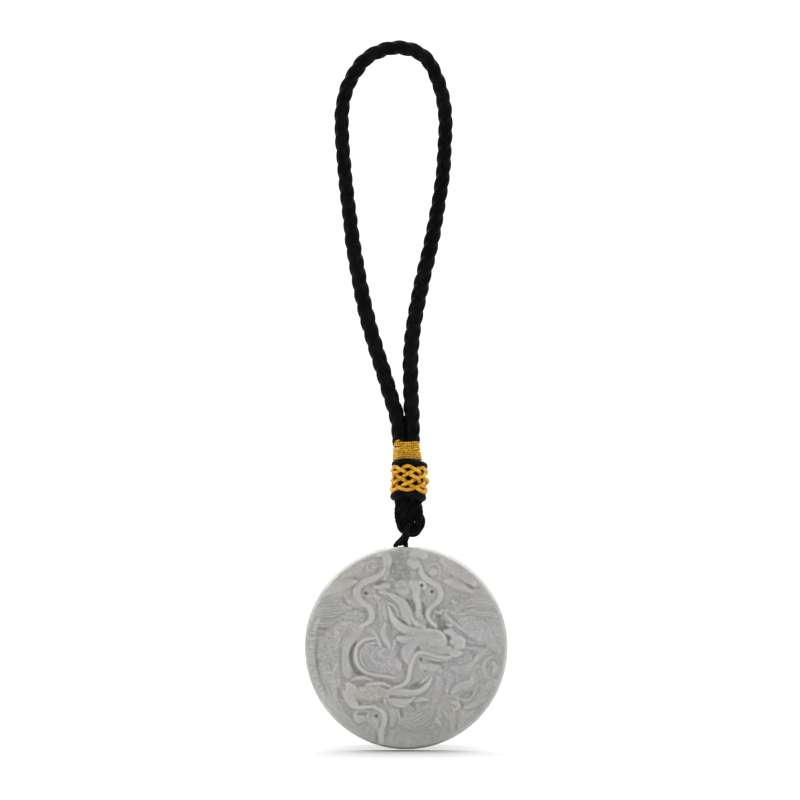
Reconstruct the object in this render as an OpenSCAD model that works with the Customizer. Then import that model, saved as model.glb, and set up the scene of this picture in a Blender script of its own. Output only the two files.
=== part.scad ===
// Carved jadeite disc pendant hanging from a twisted black cord loop with a gold bound knot.
// Millimetres, +Z up, the carved face towards -Y.
// The origin is the inner top of the cord loop, where a hook or finger holds it.

/* [Jade disc] */
// Diameter of the disc
disc_d = 55; // [54:0.5:57]
// Height of the carved face above the middle plane, at the centre
face_crown = 5.9; // [5:0.1:7]
// Height of the carved face above the middle plane, where the rim rounding starts
face_edge = 4.1; // [3.5:0.1:5]
// Height of the plain back above the middle plane, at the centre
back_crown = 4.4; // [3.5:0.1:5]
// Height of the plain back above the middle plane, where the rim rounding starts
back_edge = 3.4; // [3:0.1:4]
// Width of the rounded rim
rim_w = 2.5; // [2:0.1:3]
// Depth of the carving, as a share of the full depth
carve_depth = 1; // [0.5:0.05:1.1]
// Height of the flattened top edge above the disc's centre
flat_top = 27.2; // [27:0.1:27.4]

/* [Cord hole] */
// Distance between the two mouths in the top edge
mouth_gap = 2.8; // [2.7:0.05:3]
// Radius of the hole round the link cord
hole_r = 0.8; // [0.8:0.01:0.9]
// Depth of the hole below the flattened edge
hole_depth = 2.3; // [2.2:0.05:2.6]
// Angle that the disc may swing forwards or backwards, in degrees
swing = 20; // [10:1:22]

/* [Cords] */
// Diameter of the loop's rope
rope_d = 3.6; // [3.4:0.1:3.6]
// Diameter of the link cord
link_d = 1.4; // [1.2:0.05:1.4]

/* [Knot] */
// Diameter of the gold wrapping thread
wrap_d = 0.86; // [0.7:0.02:0.88]
// Rise of the gold wrapping thread in one turn
wrap_pitch = 0.9; // [0.89:0.01:0.92]
// Diameter of the gold lattice strands
lattice_d = 0.84; // [0.7:0.02:0.86]
// Radius of the lattice, to the middle of its weave
lattice_r = 4.2; // [4.15:0.05:4.4]
// Rise of the lattice above and below its middle
lattice_h = 2.85; // [2.5:0.05:2.85]
// Thickness of the upper black collar
collar_d = 1.7; // [1.5:0.1:1.7]
// Thickness of the lower black collar
foot_d = 2.4; // [2.2:0.1:2.4]
// Lean of the knot, with its top away from the viewer, in degrees
lean = 9; // [7:0.5:10]
// Roll of the lattice and the collars about the view line, in degrees
roll = 2.5; // [1:0.5:2.5]

/* [Hidden] */

BLACK = [0.09, 0.09, 0.1];
GOLD = [0.85, 0.6, 0.15];
JADE = [0.66, 0.67, 0.65];

disc_z = -160.3;
edge_r = disc_d / 2 - rim_w;
hole_x = -1.5;
hole_z = flat_top - hole_depth;
knot_at = [0.75, 1.2, -115];
neck_x = -0.75;
neck_r = 1.75;
neck_half = 0.8;
neck_low = 5.1;
neck_top = 10.1;
core_r = 3;
core_low = 3.3;
foot_core_r = 2.2;
core_base = 6.05;
gap = 0.1;

// Route of the loop's rope, from the left limb at the knot, over the top and back to the knot
ROPE_PATH = [
  [-1.95, 2.8, -105], [-1.95, 3, -103.7], [-2.4, 2.9, -99.5], [-4, 2.3, -93], [-6.1, 1.7, -86],
  [-8.3, 1.2, -79], [-10.3, 0.8, -72], [-11.8, 0.5, -65.5], [-13.2, 0.2, -58], [-14.4, 0, -51],
  [-15.3, 0, -43.5], [-16.2, 0, -36], [-16.9, 0, -28.5], [-17.4, 0, -21], [-17.3, 0, -14.5],
  [-16, 0, -8.8], [-13.7, 0, -4.4], [-10.7, 0, -0.8], [-7, 0, 1.2], [-3.4, 0, 2.05],
  [0, 0, 1.85], [3.2, 0, 0.8], [6, 0, -1.6], [8.2, 0, -5.9], [9.8, 0, -11],
  [10.6, 0, -17], [10.4, 0, -24.5], [10, 0, -31.5], [9, 0, -38.5], [7.8, 0, -45.5],
  [6.4, 0.1, -52.5], [4.7, 0.3, -59.5], [3.1, 0.6, -67], [1.9, 0.9, -74], [1.2, 1.4, -81.5],
  [1.2, 1.9, -88.5], [1.5, 2.5, -95], [1.75, 2.95, -101], [1.75, 3, -103.7], [1.75, 2.8, -105]];

// Rope below the knot: its two limbs lie together, then open round the link cord.
// Columns: x, y, z, radius.
BIGHT_PATH = [
  [-1.18, 0.25, -121, 1.8], [-1.18, 0.1, -122, 1.8], [-1.18, 0, -123.2, 1.8], [-1.22, 0, -124.3, 1.75],
  [-1.28, 0, -125.4, 1.62], [-1.25, 0, -126.5, 1.5], [-0.9, 0, -127.7, 1.5], [-0.05, 0, -128.6, 1.5],
  [1.15, 0, -128.9, 1.5], [2.35, 0, -128.6, 1.5], [3.2, 0, -127.7, 1.5], [3.55, 0, -126.5, 1.5],
  [3.4, 0, -125.4, 1.62], [2.9, 0, -124.3, 1.75], [2.68, 0, -123.2, 1.8], [2.68, 0.1, -122, 1.8],
  [2.68, 0.25, -121, 1.8]];

// Route of the closed link cord: through the disc, then round the left side of the rope
LINK_PATH = [
  [-0.1, 0, -134.6], [-0.33, 0, -135.17], [-0.9, 0, -135.4], [-2.1, 0, -135.4], [-2.67, 0, -135.17],
  [-2.9, 0, -134.6], [-2.9, 0, -133.6], [-2.9, 0, -132.9], [-2.6, 0.1, -132.3], [-1.9, 0.6, -131.6],
  [-1.1, 1.4, -130.8], [-0.5, 2, -129.9], [-0.2, 2.32, -128.8], [0.2, 2.27, -128.1], [0.65, 1.8, -127.3],
  [0.98, 0.98, -126.75], [1.08, 0, -126.55], [0.98, -0.98, -126.75], [0.65, -1.8, -127.3], [0.2, -2.27, -128.1],
  [-0.2, -2.32, -128.8], [-0.4, -2, -129.8], [-0.4, -1.1, -131], [-0.25, -0.4, -131.9],
  [-0.1, -0.05, -132.6], [-0.1, 0, -133.4]];

// Raised forms of the carving, from the back to the front of the scene.
// Columns: name, level of the crest, rounding, half widths at start, middle and end, path.
// Levels are measured from the domed face, and paths from the disc's centre.
FORMS = [
  ["leaf high left", -1.0, 0.7, 0.6, 1.7, 1.3, [[-18.4, 18.6], [-15, 20.3], [-11.8, 21.4]]],
  ["leaf high right", -0.9, 0.8, 1.5, 1.9, 0.6, [[10.6, 22.2], [14.5, 20.7], [18.6, 18.4]]],
  ["leaf left", -0.7, 0.9, 0.6, 1.6, 1.2, [[-22.4, 14.9], [-19.3, 15.7], [-14.6, 17.3]]],
  ["leaf right", -0.6, 1.0, 0.8, 1.5, 0.6, [[11.4, 17.4], [13.8, 17], [18.2, 14.8]]],
  ["curl left", -1.0, 0.6, 0.7, 1.0, 0.7, [[-10.6, 22.6], [-8.8, 21.4]]],
  ["curl right", -1.1, 0.8, 1.0, 1.2, 1.0, [[6.7, 20.6], [7.6, 21.2]]],
  ["cloud top left", -0.4, 1.0, 1.2, 1.4, 1.2, [[-6.2, 25.2], [-5.5, 24.6], [-5.8, 23.2]]],
  ["cloud top right", -0.3, 1.1, 1.0, 1.5, 1.4, [[5.4, 25.1], [2.6, 25.2], [2.0, 23]]],
  ["rim band left", -0.8, 0.6, 0.7, 1.3, 0.8,
    [[-22, 5.6], [-24.3, 3], [-25.1, -0.5], [-24.9, -4.5], [-23.6, -9], [-21.6, -12.6], [-18.8, -15.6]]],
  ["body left", -0.6, 1.3, 1.0, 3.0, 1.6,
    [[-14.4, 6.6], [-18.2, 4.8], [-20.6, 1.6], [-21, -2.2], [-20, -5.6], [-18.6, -8.4]]],
  ["coil left", -1.0, 0.9, 0.9, 1.6, 0.9, [[-18.4, 7.8], [-15.4, 9.8], [-12.2, 8.4]]],
  ["cloud left", -0.5, 1.2, 1.2, 1.7, 1.0, [[-14.6, 12.9], [-12.8, 11.8]]],
  ["body right", -0.6, 1.3, 1.4, 3.0, 1.8, [[12.6, 9.6], [15.6, 8.2], [18.6, 6.2], [20.4, 1.8]]],
  ["leaf east", -0.6, 0.7, 0.5, 0.8, 0.5, [[18.6, -3], [21.2, -0.5]]],
  ["coil low right", -0.9, 0.9, 0.9, 2.0, 1.2, [[10.6, -5.4], [12.4, -7.6], [9, -12.4]]],
  ["slab east", -0.9, 0.6, 0.9, 1.2, 0.9, [[16.6, -5], [17, -10.2]]],
  ["flame east", -0.3, 1.1, 0.7, 1.4, 0.6, [[11.6, -12.4], [13.4, -10.2], [17, -8]]],
  ["claw east", -0.4, 0.8, 0.7, 0.9, 0.6, [[12.4, -14.2], [14.4, -15], [14.4, -16.6]]],
  ["lobe south east", -0.6, 0.8, 0.6, 1.1, 0.7, [[16.2, -15.2], [20.4, -13]]],
  ["waves low", -0.8, 0.8, 1.0, 2.2, 1.0, [[0.6, -19.4], [4.6, -18.6], [8.2, -16.4], [10.6, -13.6]]],
  ["column low", -0.9, 0.8, 1.1, 1.4, 0.8, [[-3.8, -17], [-3.8, -21]]],
  ["scute band", -0.2, 1.2, 1.0, 1.3, 1.0,
    [[-12.6, 5.2], [-14.8, 3.3], [-16.3, 0.9], [-16.6, -1.8], [-15.8, -6.8]]],
  ["coil field", -0.5, 1.2, 3.0, 4.3, 3.0, [[-9.6, -1], [-4.6, -3.8]]],
  ["coil belly", -0.3, 1.3, 0.9, 1.3, 0.9, [[-7.6, -6.3], [-1.4, -6.2]]],
  ["coil rim", 0, 1.2, 0.7, 1.0, 0.7,
    [[-9.2, 3], [-11.6, 2.6], [-13.3, 0.8], [-13.8, -1.6], [-13.3, -3.7], [-11.6, -5.4], [-7.8, -7.4]]],
  ["lobe left", -0.1, 1.2, 0.6, 1.2, 0.6, [[-5.7, 7.4], [-6.5, 4], [-4.5, 0.6]]],
  ["lobe far left", -0.2, 1.0, 0.6, 0.8, 0.5, [[-8.8, 5.1], [-7.4, 0.6]]],
  ["web right", -1.1, 1.0, 1.6, 2.2, 1.4, [[3.8, 15.6], [6.6, 12.6]]],
  ["web left", -1.1, 1.0, 1.0, 1.6, 1.0, [[-10.4, 16.4], [-9.6, 12.8]]],
  ["claw left", -0.2, 1.2, 0.7, 0.9, 1.1, [[-8.6, 16], [-5.7, 16.8]]],
  ["fin left", -0.6, 1.0, 0.6, 0.9, 0.8, [[-5, 21.6], [-5.2, 18.9]]],
  ["scroll centre", -0.6, 1.2, 1.0, 1.4, 1.3, [[-2, 15], [-0.8, 16.8]]],
  ["stem right", -0.1, 1.4, 1.5, 1.5, 0.8, [[1.9, 16.7], [2.9, 13.6], [3.2, 9.6]]],
  ["mane lock", -0.2, 1.4, 0.7, 1.3, 1.1, [[-4.8, 14.6], [-1.1, 12.4], [-0.2, 9.4], [1, 7]]],
  ["whisker left", 0.1, 1.3, 0.8, 1.0, 0.8,
    [[-5.6, 21.4], [-6.9, 19.8], [-11.6, 17.4], [-12.9, 15.4], [-12.5, 13.2], [-9.4, 9.4], [-9.2, 7.6],
     [-12.2, 5.6]]],
  ["whisker right", 0.1, 1.3, 0.7, 1.0, 0.7,
    [[3.2, 21.8], [3.7, 19.9], [7.3, 17.2], [9.1, 15], [9.0, 13.2], [6.2, 10.2], [5.9, 8.6], [8.6, 5.6]]],
  ["brow low", -0.2, 0.9, 0.6, 0.8, 0.6, [[-14.4, -8.4], [-12, -7.7], [-9, -8.6]]],
  ["face low", -0.1, 1.6, 1.8, 2.8, 1.6, [[-12.4, -12.4], [-5.6, -12.2]]],
  ["snout low", 0.2, 1.7, 1.6, 2.0, 1.3, [[-15.4, -9.9], [-14.9, -13]]],
  ["lip low", 0, 1.1, 0.9, 1.0, 0.7, [[-15.2, -14.2], [-13.8, -15.8], [-8.6, -15.6]]],
  ["chin low", -0.3, 1.2, 0.9, 1.3, 0.9, [[-13.4, -17.6], [-11.8, -18.9]]],
  ["web low", -0.8, 0.9, 1.2, 1.6, 0.8, [[-9.2, -18.4], [-7.6, -21.8]]],
  ["horn low", 0.1, 1.3, 0.9, 1.1, 0.6, [[-4.6, -12], [1.2, -12.2], [3.8, -11.2], [6.7, -7.8]]],
  ["horn lowest", -0.1, 1.3, 0.8, 1.4, 0.7, [[-4.4, -14.2], [0.6, -14.2], [2.1, -13.3]]],
  ["whisker low", 0.1, 1.2, 0.7, 0.9, 0.7,
    [[-9.4, -15.7], [-7.3, -16], [-5.6, -18.4], [-6.2, -21.3], [-6.8, -23.4], [-6.5, -25]]],
  ["cloud middle", -0.7, 1.0, 1.0, 1.3, 0.9, [[4, -4.9], [8.6, -5.1]]],
  ["horn short", 0.2, 1.3, 0.5, 0.9, 0.9, [[1.9, 8.2], [2.6, 6.8], [5, 5]]],
  ["horn long", 0.3, 1.5, 0.5, 1.2, 1.0, [[-4.7, 10.6], [-4, 8.8], [-1.9, 6.2], [3.4, 4.8]]],
  ["ear", 0.2, 1.3, 0.7, 1.3, 1.0, [[-2.3, 3.4], [0, 2.5], [4, 2.5]]],
  ["brow", 0.5, 1.6, 1.5, 2.2, 1.7, [[3.4, 3.2], [10, 1.8]]],
  ["cheek", 0.1, 1.3, 1.2, 1.6, 0.8, [[1.6, 0.8], [0.2, -1.4], [0.2, -3.6]]],
  ["nose bridge", 0.2, 1.0, 0.8, 1.0, 1.1, [[10, 4.6], [13.4, 3.4]]],
  ["nose", 0.5, 1.9, 1.6, 2.0, 1.7, [[12.6, 1.4], [14.5, 1.4]]],
  ["nose lip", 0.3, 1.3, 1.1, 1.3, 1.0, [[13, -0.6], [14.4, -0.9]]],
  ["whisker mouth", 0.2, 1.2, 0.8, 1.0, 0.8,
    [[12, -2.3], [9.4, -2.4], [4.8, -1.2], [2.8, -1.5], [1.6, -2.8], [1.2, -6.6], [0.7, -8.4],
     [-0.9, -9.8], [-4.6, -11.4]]]];

// Hollows between the forms. Columns: name, level of the floor, half widths at start and end, path.
HOLLOWS = [
  ["well top", -2.3, 1.6, 1.8, [[-3.4, 21.6], [-3.5, 16]]],
  ["well top right", -2.2, 1.2, 1.2, [[-0.8, 21], [1, 18.8]]],
  ["gap centre", -3.4, 0.9, 1.0, [[0.8, 13.2], [2.4, 10.4]]],
  ["gap right", -3.4, 0.6, 0.6, [[4.4, 13.2], [5.3, 9.6], [5, 8.4]]],
  ["gap east", -4.2, 0.6, 1.1, [[7.6, 7.6], [9, 7.9], [9.5, 6.4]]],
  ["gap left", -2.6, 0.8, 0.7, [[-7.4, 11], [-7.6, 5.6]]],
  ["crescent", -4.4, 0.5, 0.8, [[-13.7, 0.9], [-14.8, -1.8], [-14.6, -4.2], [-12.2, -6.7]]],
  ["gap south", -4.0, 0.8, 0.6, [[1.6, -10], [4, -9]]],
  ["gap lip east", -2.8, 0.7, 0.6, [[11.5, -4], [14, -2.9]]],
  ["well east", -1.9, 1.3, 1.2, [[17.2, -0.4], [18.2, -2.3]]],
  ["gap flame", -3.4, 0.7, 0.6, [[14.4, -12.8], [17.8, -11.8]]],
  ["gap leaf left", -2.2, 0.7, 0.6, [[-18.4, 13.4], [-16.8, 13.2]]]];

// Drilled holes of the openwork. Columns: x, z, radius.
DRILLED = [[-10.8, 15, 0.75], [7.1, 15.3, 0.68], [4, -3, 0.75], [-7.8, -18.4, 0.72]];
drill_floor = 0.6;

// Rings of the face's mesh: ring k has 6k points, so the spacing is even
face_rings = 32;
// Rings of the plain back, each with half the points of the one outside it. Column: radius.
BACK_RINGS = [20, 14, 8, 4];
// Steps of the rim's rounding, in degrees from the face or from the back
RIM_FRONT = [22.5, 45, 67.5, 90];
RIM_BACK = [60, 30, 0];

// Values between start and end
function mix(a, b, t) = a + (b - a) * t;
function ease(t) = let (s = max(0, min(1, t))) s * s * (3 - 2 * s);

// Nearest place on a path: distance and share of the path's rows
function on_leg(p, a, b) = let (d = b - a, u = max(0, min(1, (p - a) * d / (d * d)))) [norm(p - a - u * d), u];
function on_path(p, path) =
  let (legs = len(path) - 1,
       hits = [for (i = [0:legs - 1]) let (h = on_leg(p, path[i], path[i + 1])) [h[0], (i + h[1]) / legs]],
       near = min([for (h = hits) h[0]]))
  [for (h = hits) if (h[0] == near) h][0];
function in_box(p, path, pad) =
  p[0] > min([for (q = path) q[0]]) - pad && p[0] < max([for (q = path) q[0]]) + pad
  && p[1] > min([for (q = path) q[1]]) - pad && p[1] < max([for (q = path) q[1]]) + pad;

// Level of the uncut ground, of a hollow and of a raised form at one point of the face
groove = 0.15;
groove_slope = 1.3;
groove_w = 1.2;
hollow_slope = 1.6;
function ground(p) = mix(-1.9, -1.0, ease((norm(p) - 15) / 10));
function hollowed(p, row, level) =
  let (path = row[4])
  !in_box(p, path, 3) ? level
  : let (h = on_path(p, path)) min(level, row[1] + hollow_slope * max(0, h[0] - mix(row[2], row[3], h[1])));
function raised(p, row, level) =
  let (path = row[6], top = row[1], rounding = row[2])
  !in_box(p, path, max(row[3], row[4], row[5]) + groove_w) ? level
  : let (h = on_path(p, path),
         w = h[1] < 0.5 ? mix(row[3], row[4], ease(2 * h[1])) : mix(row[4], row[5], ease(2 * h[1] - 1)),
         s = h[0] / w)
    s < 1 ? top - rounding * (1 - sqrt(1 - s * s))
    : h[0] > w + groove_w ? level
    : min(level, top - rounding - groove + groove_slope * (h[0] - w));
function hollows_at(p, level, i = 0) =
  i == len(HOLLOWS) ? level : hollows_at(p, hollowed(p, HOLLOWS[i], level), i + 1);
function forms_at(p, level, i = 0) =
  i == len(FORMS) ? level : forms_at(p, raised(p, FORMS[i], level), i + 1);
function carving(p) = carve_depth * forms_at(p, hollows_at(p, ground(p)));
function dome(r, crown, edge) = mix(crown, edge, pow(r / edge_r, 2));

// Rings of points: the disc stands in the XZ plane
function ring(r, n) = [for (i = [0:n - 1]) r * [sin(360 * i / n), cos(360 * i / n)]];
function placed(p, y) = [p[0], y, min(p[1], flat_top)];

// Triangles between ring starts a and b; the inner ring has m points and the outer m + 6 in six sectors
function sector_strip(a, m, b) =
  let (n = m + 6, k = m / 6)
  concat(
    [for (i = [0:n - 1]) let (s = floor(i / (k + 1)), j = i - s)
      [a + j % m, b + (i + 1) % n, b + i]],
    [for (i = [0:m - 1]) let (s = floor(i / k), o = i + s + 1)
      [a + i, a + (i + 1) % m, b + o % n]]);
// Triangles between two rings of n points each
function even_strip(a, b, n) =
  [for (i = [0:n - 1], t = [0, 1]) t == 0 ? [a + i, b + (i + 1) % n, b + i] : [a + i, a + (i + 1) % n, b + (i + 1) % n]];
// Triangles from a ring of n points to one of n / 2 points
function half_strip(a, n, b) =
  let (m = n / 2)
  concat(
    [for (i = [0:n - 1]) [a + i, b + ceil(i / 2) % m, a + (i + 1) % n]],
    [for (i = [0:m - 1]) [b + i, b + (i + 1) % m, a + (2 * i + 1) % n]]);

module disc_body() {
  rim_n = 6 * face_rings;
  face = [for (k = [1:face_rings]) for (p = ring(edge_r * k / face_rings, 6 * k))
    placed(p, -dome(norm(p), face_crown, face_edge) - carving(p))];
  face_n = len(face);
  edge = [for (i = [face_n - rim_n:face_n - 1]) face[i]];
  front = [for (a = RIM_FRONT) let (c = ring(edge_r + rim_w * sin(a), rim_n))
    for (i = [0:rim_n - 1]) placed(c[i], edge[i][1] * cos(a))];
  back = [for (a = RIM_BACK) for (p = ring(edge_r + rim_w * sin(a), rim_n)) placed(p, back_edge * cos(a))];
  inner = [for (j = [0:len(BACK_RINGS) - 1]) for (p = ring(BACK_RINGS[j], rim_n / pow(2, j + 1)))
    placed(p, dome(norm(p), back_crown, back_edge))];
  points = concat([[0, -face_crown - carving([0, 0]), 0]], face, front, back, inner, [[0, back_crown, 0]]);
  face_start = [for (k = [1:face_rings]) 1 + 3 * k * (k - 1)];
  rim_start = [for (j = [0:len(RIM_FRONT) + len(RIM_BACK)]) 1 + face_n + rim_n * (j - 1)];
  back_start = [for (j = [0:len(BACK_RINGS)]) 1 + face_n + len(front) + len(back)
    + rim_n * (1 - pow(0.5, j))];
  last_n = rim_n / pow(2, len(BACK_RINGS));
  faces = concat(
    [for (i = [0:5]) [0, 1 + (i + 1) % 6, 1 + i]],
    [for (k = [1:face_rings - 1]) each sector_strip(face_start[k - 1], 6 * k, face_start[k])],
    [for (j = [0:len(rim_start) - 2]) each even_strip(rim_start[j], rim_start[j + 1], rim_n)],
    half_strip(rim_start[len(rim_start) - 1], rim_n, back_start[0]),
    [for (j = [1:len(BACK_RINGS) - 1]) each half_strip(back_start[j - 1], rim_n / pow(2, j), back_start[j])],
    [for (i = [0:last_n - 1])
      [back_start[len(BACK_RINGS) - 1] + i, len(points) - 1, back_start[len(BACK_RINGS) - 1] + (i + 1) % last_n]]);
  polyhedron(points = points, faces = faces, convexity = 10);
}

// Slot that lets one leg of the link cord stand upright while the disc swings
module swing_slot(x) {
  reach = 4;
  low = hole_r * [cos(swing + 1), -sin(swing + 1)];
  high = low + reach * [sin(swing + 1), cos(swing + 1)];
  translate([x - hole_r, 0, hole_z])
    rotate([90, 0, 90])
      linear_extrude(2 * hole_r)
        polygon([low, high, [-high[0], high[1]], [-low[0], low[1]]]);
}

module cord_hole() {
  half = mouth_gap / 2;
  translate([hole_x - half - hole_r, 0, hole_z])
    rotate([0, 90, 0])
      cylinder(h = mouth_gap + 2 * hole_r, r = hole_r, $fn = 48);
  for (side = [-1, 1]) swing_slot(hole_x + side * half);
}

module jade_disc() {
  color(JADE)
    translate([0, 0, disc_z])
      difference() {
        disc_body();
        cord_hole();
        for (d = DRILLED)
          translate([d[0], drill_floor, d[1]])
            rotate([90, 0, 0])
              cylinder(h = 2 * face_crown, r = d[2], $fn = 32);
      }
}

// Direction of a path at point i, for an open or a closed path
function heading(path, i, closed) =
  let (n = len(path),
       a = path[closed ? (i + n - 1) % n : max(i - 1, 0)],
       b = path[closed ? (i + 1) % n : min(i + 1, n - 1)])
  (b - a) / norm(b - a);
// Side vectors carried along the path without twist
function carried(path, closed, side, i = 0, out = []) =
  i == len(path) ? out
  : let (t = heading(path, i, closed), s = side - (side * t) * t)
    carried(path, closed, s / norm(s), i + 1, concat(out, [s / norm(s)]));
function tube_points(path, radii, sides, closed, side) =
  let (sv = carried(path, closed, side),
       n = len(path),
       // angle left over where a closed path meets its start, shared along the path
       left = closed ? let (t = heading(path, 0, true), e = sv[n - 1] - (sv[n - 1] * t) * t)
         atan2(cross(e, sv[0]) * t, e * sv[0]) : 0)
  [for (i = [0:n - 1]) let (t = heading(path, i, closed), u = sv[i], v = cross(t, u))
    for (k = [0:sides - 1]) let (a = 360 * k / sides + left * i / n) path[i] + radii[i] * (cos(a) * u + sin(a) * v)];
function tube_faces(n, sides, closed) = concat(
  [for (i = [0:n - (closed ? 1 : 2)], k = [0:sides - 1], t = [0, 1])
    let (a = i * sides, b = ((i + 1) % n) * sides, m = (k + 1) % sides)
    t == 0 ? [a + k, b + k, b + m] : [a + k, b + m, a + m]],
  closed ? [] : [[for (k = [0:sides - 1]) k], [for (k = [sides - 1:-1:0]) (n - 1) * sides + k]]);

module cord_tube(path, radii, sides, closed, side) {
  polyhedron(points = tube_points(path, radii, sides, closed, side), faces = tube_faces(len(path), sides, closed),
             convexity = 8);
}
function all_same(path, d) = [for (p = path) d / 2];

// Everything in the knot leans with it; the lattice and the collars also roll a little
module knot_frame() { translate(knot_at) rotate([-lean, 0, 0]) children(); }
module rolled() { rotate([0, roll, 0]) children(); }

module loop_rope() { color(BLACK) cord_tube(ROPE_PATH, all_same(ROPE_PATH, rope_d), 8, false, [0, 1, 0]); }
module rope_bight() {
  path = [for (b = BIGHT_PATH) [b[0], b[1], b[2]]];
  color(BLACK) cord_tube(path, [for (b = BIGHT_PATH) b[3]], 8, false, [0, 1, 0]);
}
module link_cord() { color(BLACK) cord_tube(LINK_PATH, all_same(LINK_PATH, link_d), 8, true, [0, 1, 0]); }

// The gold thread winds round the two limbs, wider at the bottom than at the top
wrap_low = 5.4;
wrap_turns = 4.2;
wrap_steps = 20;
wrap_inner = neck_r + 0.1;
module gold_wrap() {
  r = wrap_d / 2;
  path = [for (i = [0:wrap_turns * wrap_steps])
    let (t = i / (wrap_turns * wrap_steps), a = 100 + (i + 0.5) * 360 / wrap_steps,
         half = mix(1.42, 0.88, t), x = mix(-0.5, -0.8, t), b = wrap_inner + r)
    [x + half * sign(cos(a)) + b * cos(a), b * sin(a), wrap_low + r + wrap_pitch * i / wrap_steps]];
  color(GOLD) knot_frame() cord_tube(path, all_same(path, wrap_d), 6, false, [0, 0, 1]);
}

module torus(ring_r, d) { rotate_extrude($fn = 64) translate([ring_r, 0]) circle(d = d, $fn = 32); }

module upper_collar() {
  color(BLACK) knot_frame() rolled()
    translate([0, 0, lattice_h + lattice_d / 2 + gap + collar_d / 2]) torus(4.1, collar_d);
}
module lower_collar() {
  color(BLACK) knot_frame() rolled()
    translate([0, 0, -lattice_h - lattice_d / 2 - gap - foot_d / 2]) torus(3.7, foot_d);
}

// A woven sleeve of four leads and six bights, which two closed strands share
leads = 4;
bights = 6;
weave = 0.48;
lattice_steps = 66;
function zigzag(a) = asin(0.97 * cos(a)) / asin(0.97);
function over_under(a) = -cos(leads * a) * max(-1, min(1, 2 * sin(a)));
module lattice_strand(turn) {
  path = [for (i = [0:lattice_steps - 1])
    let (s = i / lattice_steps, phi = 360 * s * leads / 2 + turn, a = 360 * s * bights / 2,
         r = lattice_r + weave * over_under(a))
    [r * cos(phi), r * sin(phi), lattice_h * zigzag(a)]];
  color(GOLD) knot_frame() rolled() cord_tube(path, all_same(path, lattice_d), 6, true, [0, 0, 1]);
}
module lattice_strand_a() { lattice_strand(360 / bights / 2); }
module lattice_strand_b() { lattice_strand(-360 / bights / 2); }

module neck_outline() {
  for (side = [-1, 1]) translate([side * neck_half, 0]) circle(r = neck_r, $fn = 48);
  square([2 * neck_half, 2 * neck_r], center = true);
}
module knot_core() {
  color(BLACK) knot_frame() {
    translate([0, 0, -core_low]) cylinder(h = core_low + neck_low, r = core_r, $fn = 64);
    translate([0, 0, -core_base]) cylinder(h = core_base - core_low, r = foot_core_r, $fn = 64);
    translate([neck_x, 0, neck_low]) linear_extrude(neck_top - neck_low) neck_outline();
  }
}

loop_rope();
gold_wrap();
upper_collar();
lattice_strand_a();
lattice_strand_b();
lower_collar();
knot_core();
rope_bight();
link_cord();
jade_disc();
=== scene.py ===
"""Dresses the carved jadeite pendant: stone, cords, gold bound knot, floor, light and camera."""
import itertools
import math

import bpy
import numpy as np
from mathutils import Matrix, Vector


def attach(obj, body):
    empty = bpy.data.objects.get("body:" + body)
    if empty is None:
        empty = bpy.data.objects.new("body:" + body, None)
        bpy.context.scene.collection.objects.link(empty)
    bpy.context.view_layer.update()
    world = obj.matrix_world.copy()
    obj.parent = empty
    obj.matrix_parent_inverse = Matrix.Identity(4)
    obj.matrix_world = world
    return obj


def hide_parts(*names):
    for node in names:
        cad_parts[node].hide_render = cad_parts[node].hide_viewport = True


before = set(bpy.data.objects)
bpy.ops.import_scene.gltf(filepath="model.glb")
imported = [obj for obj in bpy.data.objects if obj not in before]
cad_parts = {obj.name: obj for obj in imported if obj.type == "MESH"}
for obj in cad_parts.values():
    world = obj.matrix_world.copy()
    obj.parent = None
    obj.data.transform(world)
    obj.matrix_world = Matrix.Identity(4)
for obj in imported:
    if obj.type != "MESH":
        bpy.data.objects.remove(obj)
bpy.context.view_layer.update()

MM = 0.001

bl_info = {
    "name": "Carved jadeite pendant",
    "version": (1, 0, 0),
    "blender": (4, 5, 0),
    "location": "3D View > Sidebar > Pendant",
    "description": "Builds the carved stone, the cord loop and the gold bound knot round the packed parts",
    "category": "Object",
}

# ---- Routes, in millimetres, close to those of the part's source ----

# The rope, from the knot up its left limb, over the top and down the right limb into the knot.
ROPE_PATH = [
    (-1.8, 2.6, -106.4), (-1.8, 3, -103.7), (-2.15, 2.9, -99.5), (-4, 2.3, -93), (-6.1, 1.7, -86),
    (-8.3, 1.2, -79), (-10.3, 0.8, -72), (-11.8, 0.5, -65.5), (-13.2, 0.2, -58), (-14.4, 0, -51),
    (-15.3, 0, -43.5), (-16.2, 0, -36), (-16.9, 0, -28.5), (-17.4, 0, -21), (-17.3, 0, -14.5),
    (-16, 0, -8.8), (-13.7, 0, -4.4), (-10.7, 0, -0.8), (-7, 0, 1.2), (-3.4, 0, 2.05),
    (0, 0, 1.85), (3.2, 0, 0.8), (6, 0, -1.6), (8.2, 0, -5.9), (9.8, 0, -11),
    (10.6, 0, -17), (10.4, 0, -24.5), (10, 0, -31.5), (9, 0, -38.5), (7.8, 0, -45.5),
    (6.4, 0.1, -52.5), (4.7, 0.3, -59.5), (3.1, 0.6, -67), (1.9, 0.9, -74), (1.2, 1.4, -81.5),
    (1.2, 1.9, -88.5), (1.4, 2.5, -95), (1.6, 2.95, -101), (1.65, 3, -103.7), (1.65, 2.6, -106.4)]
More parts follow.
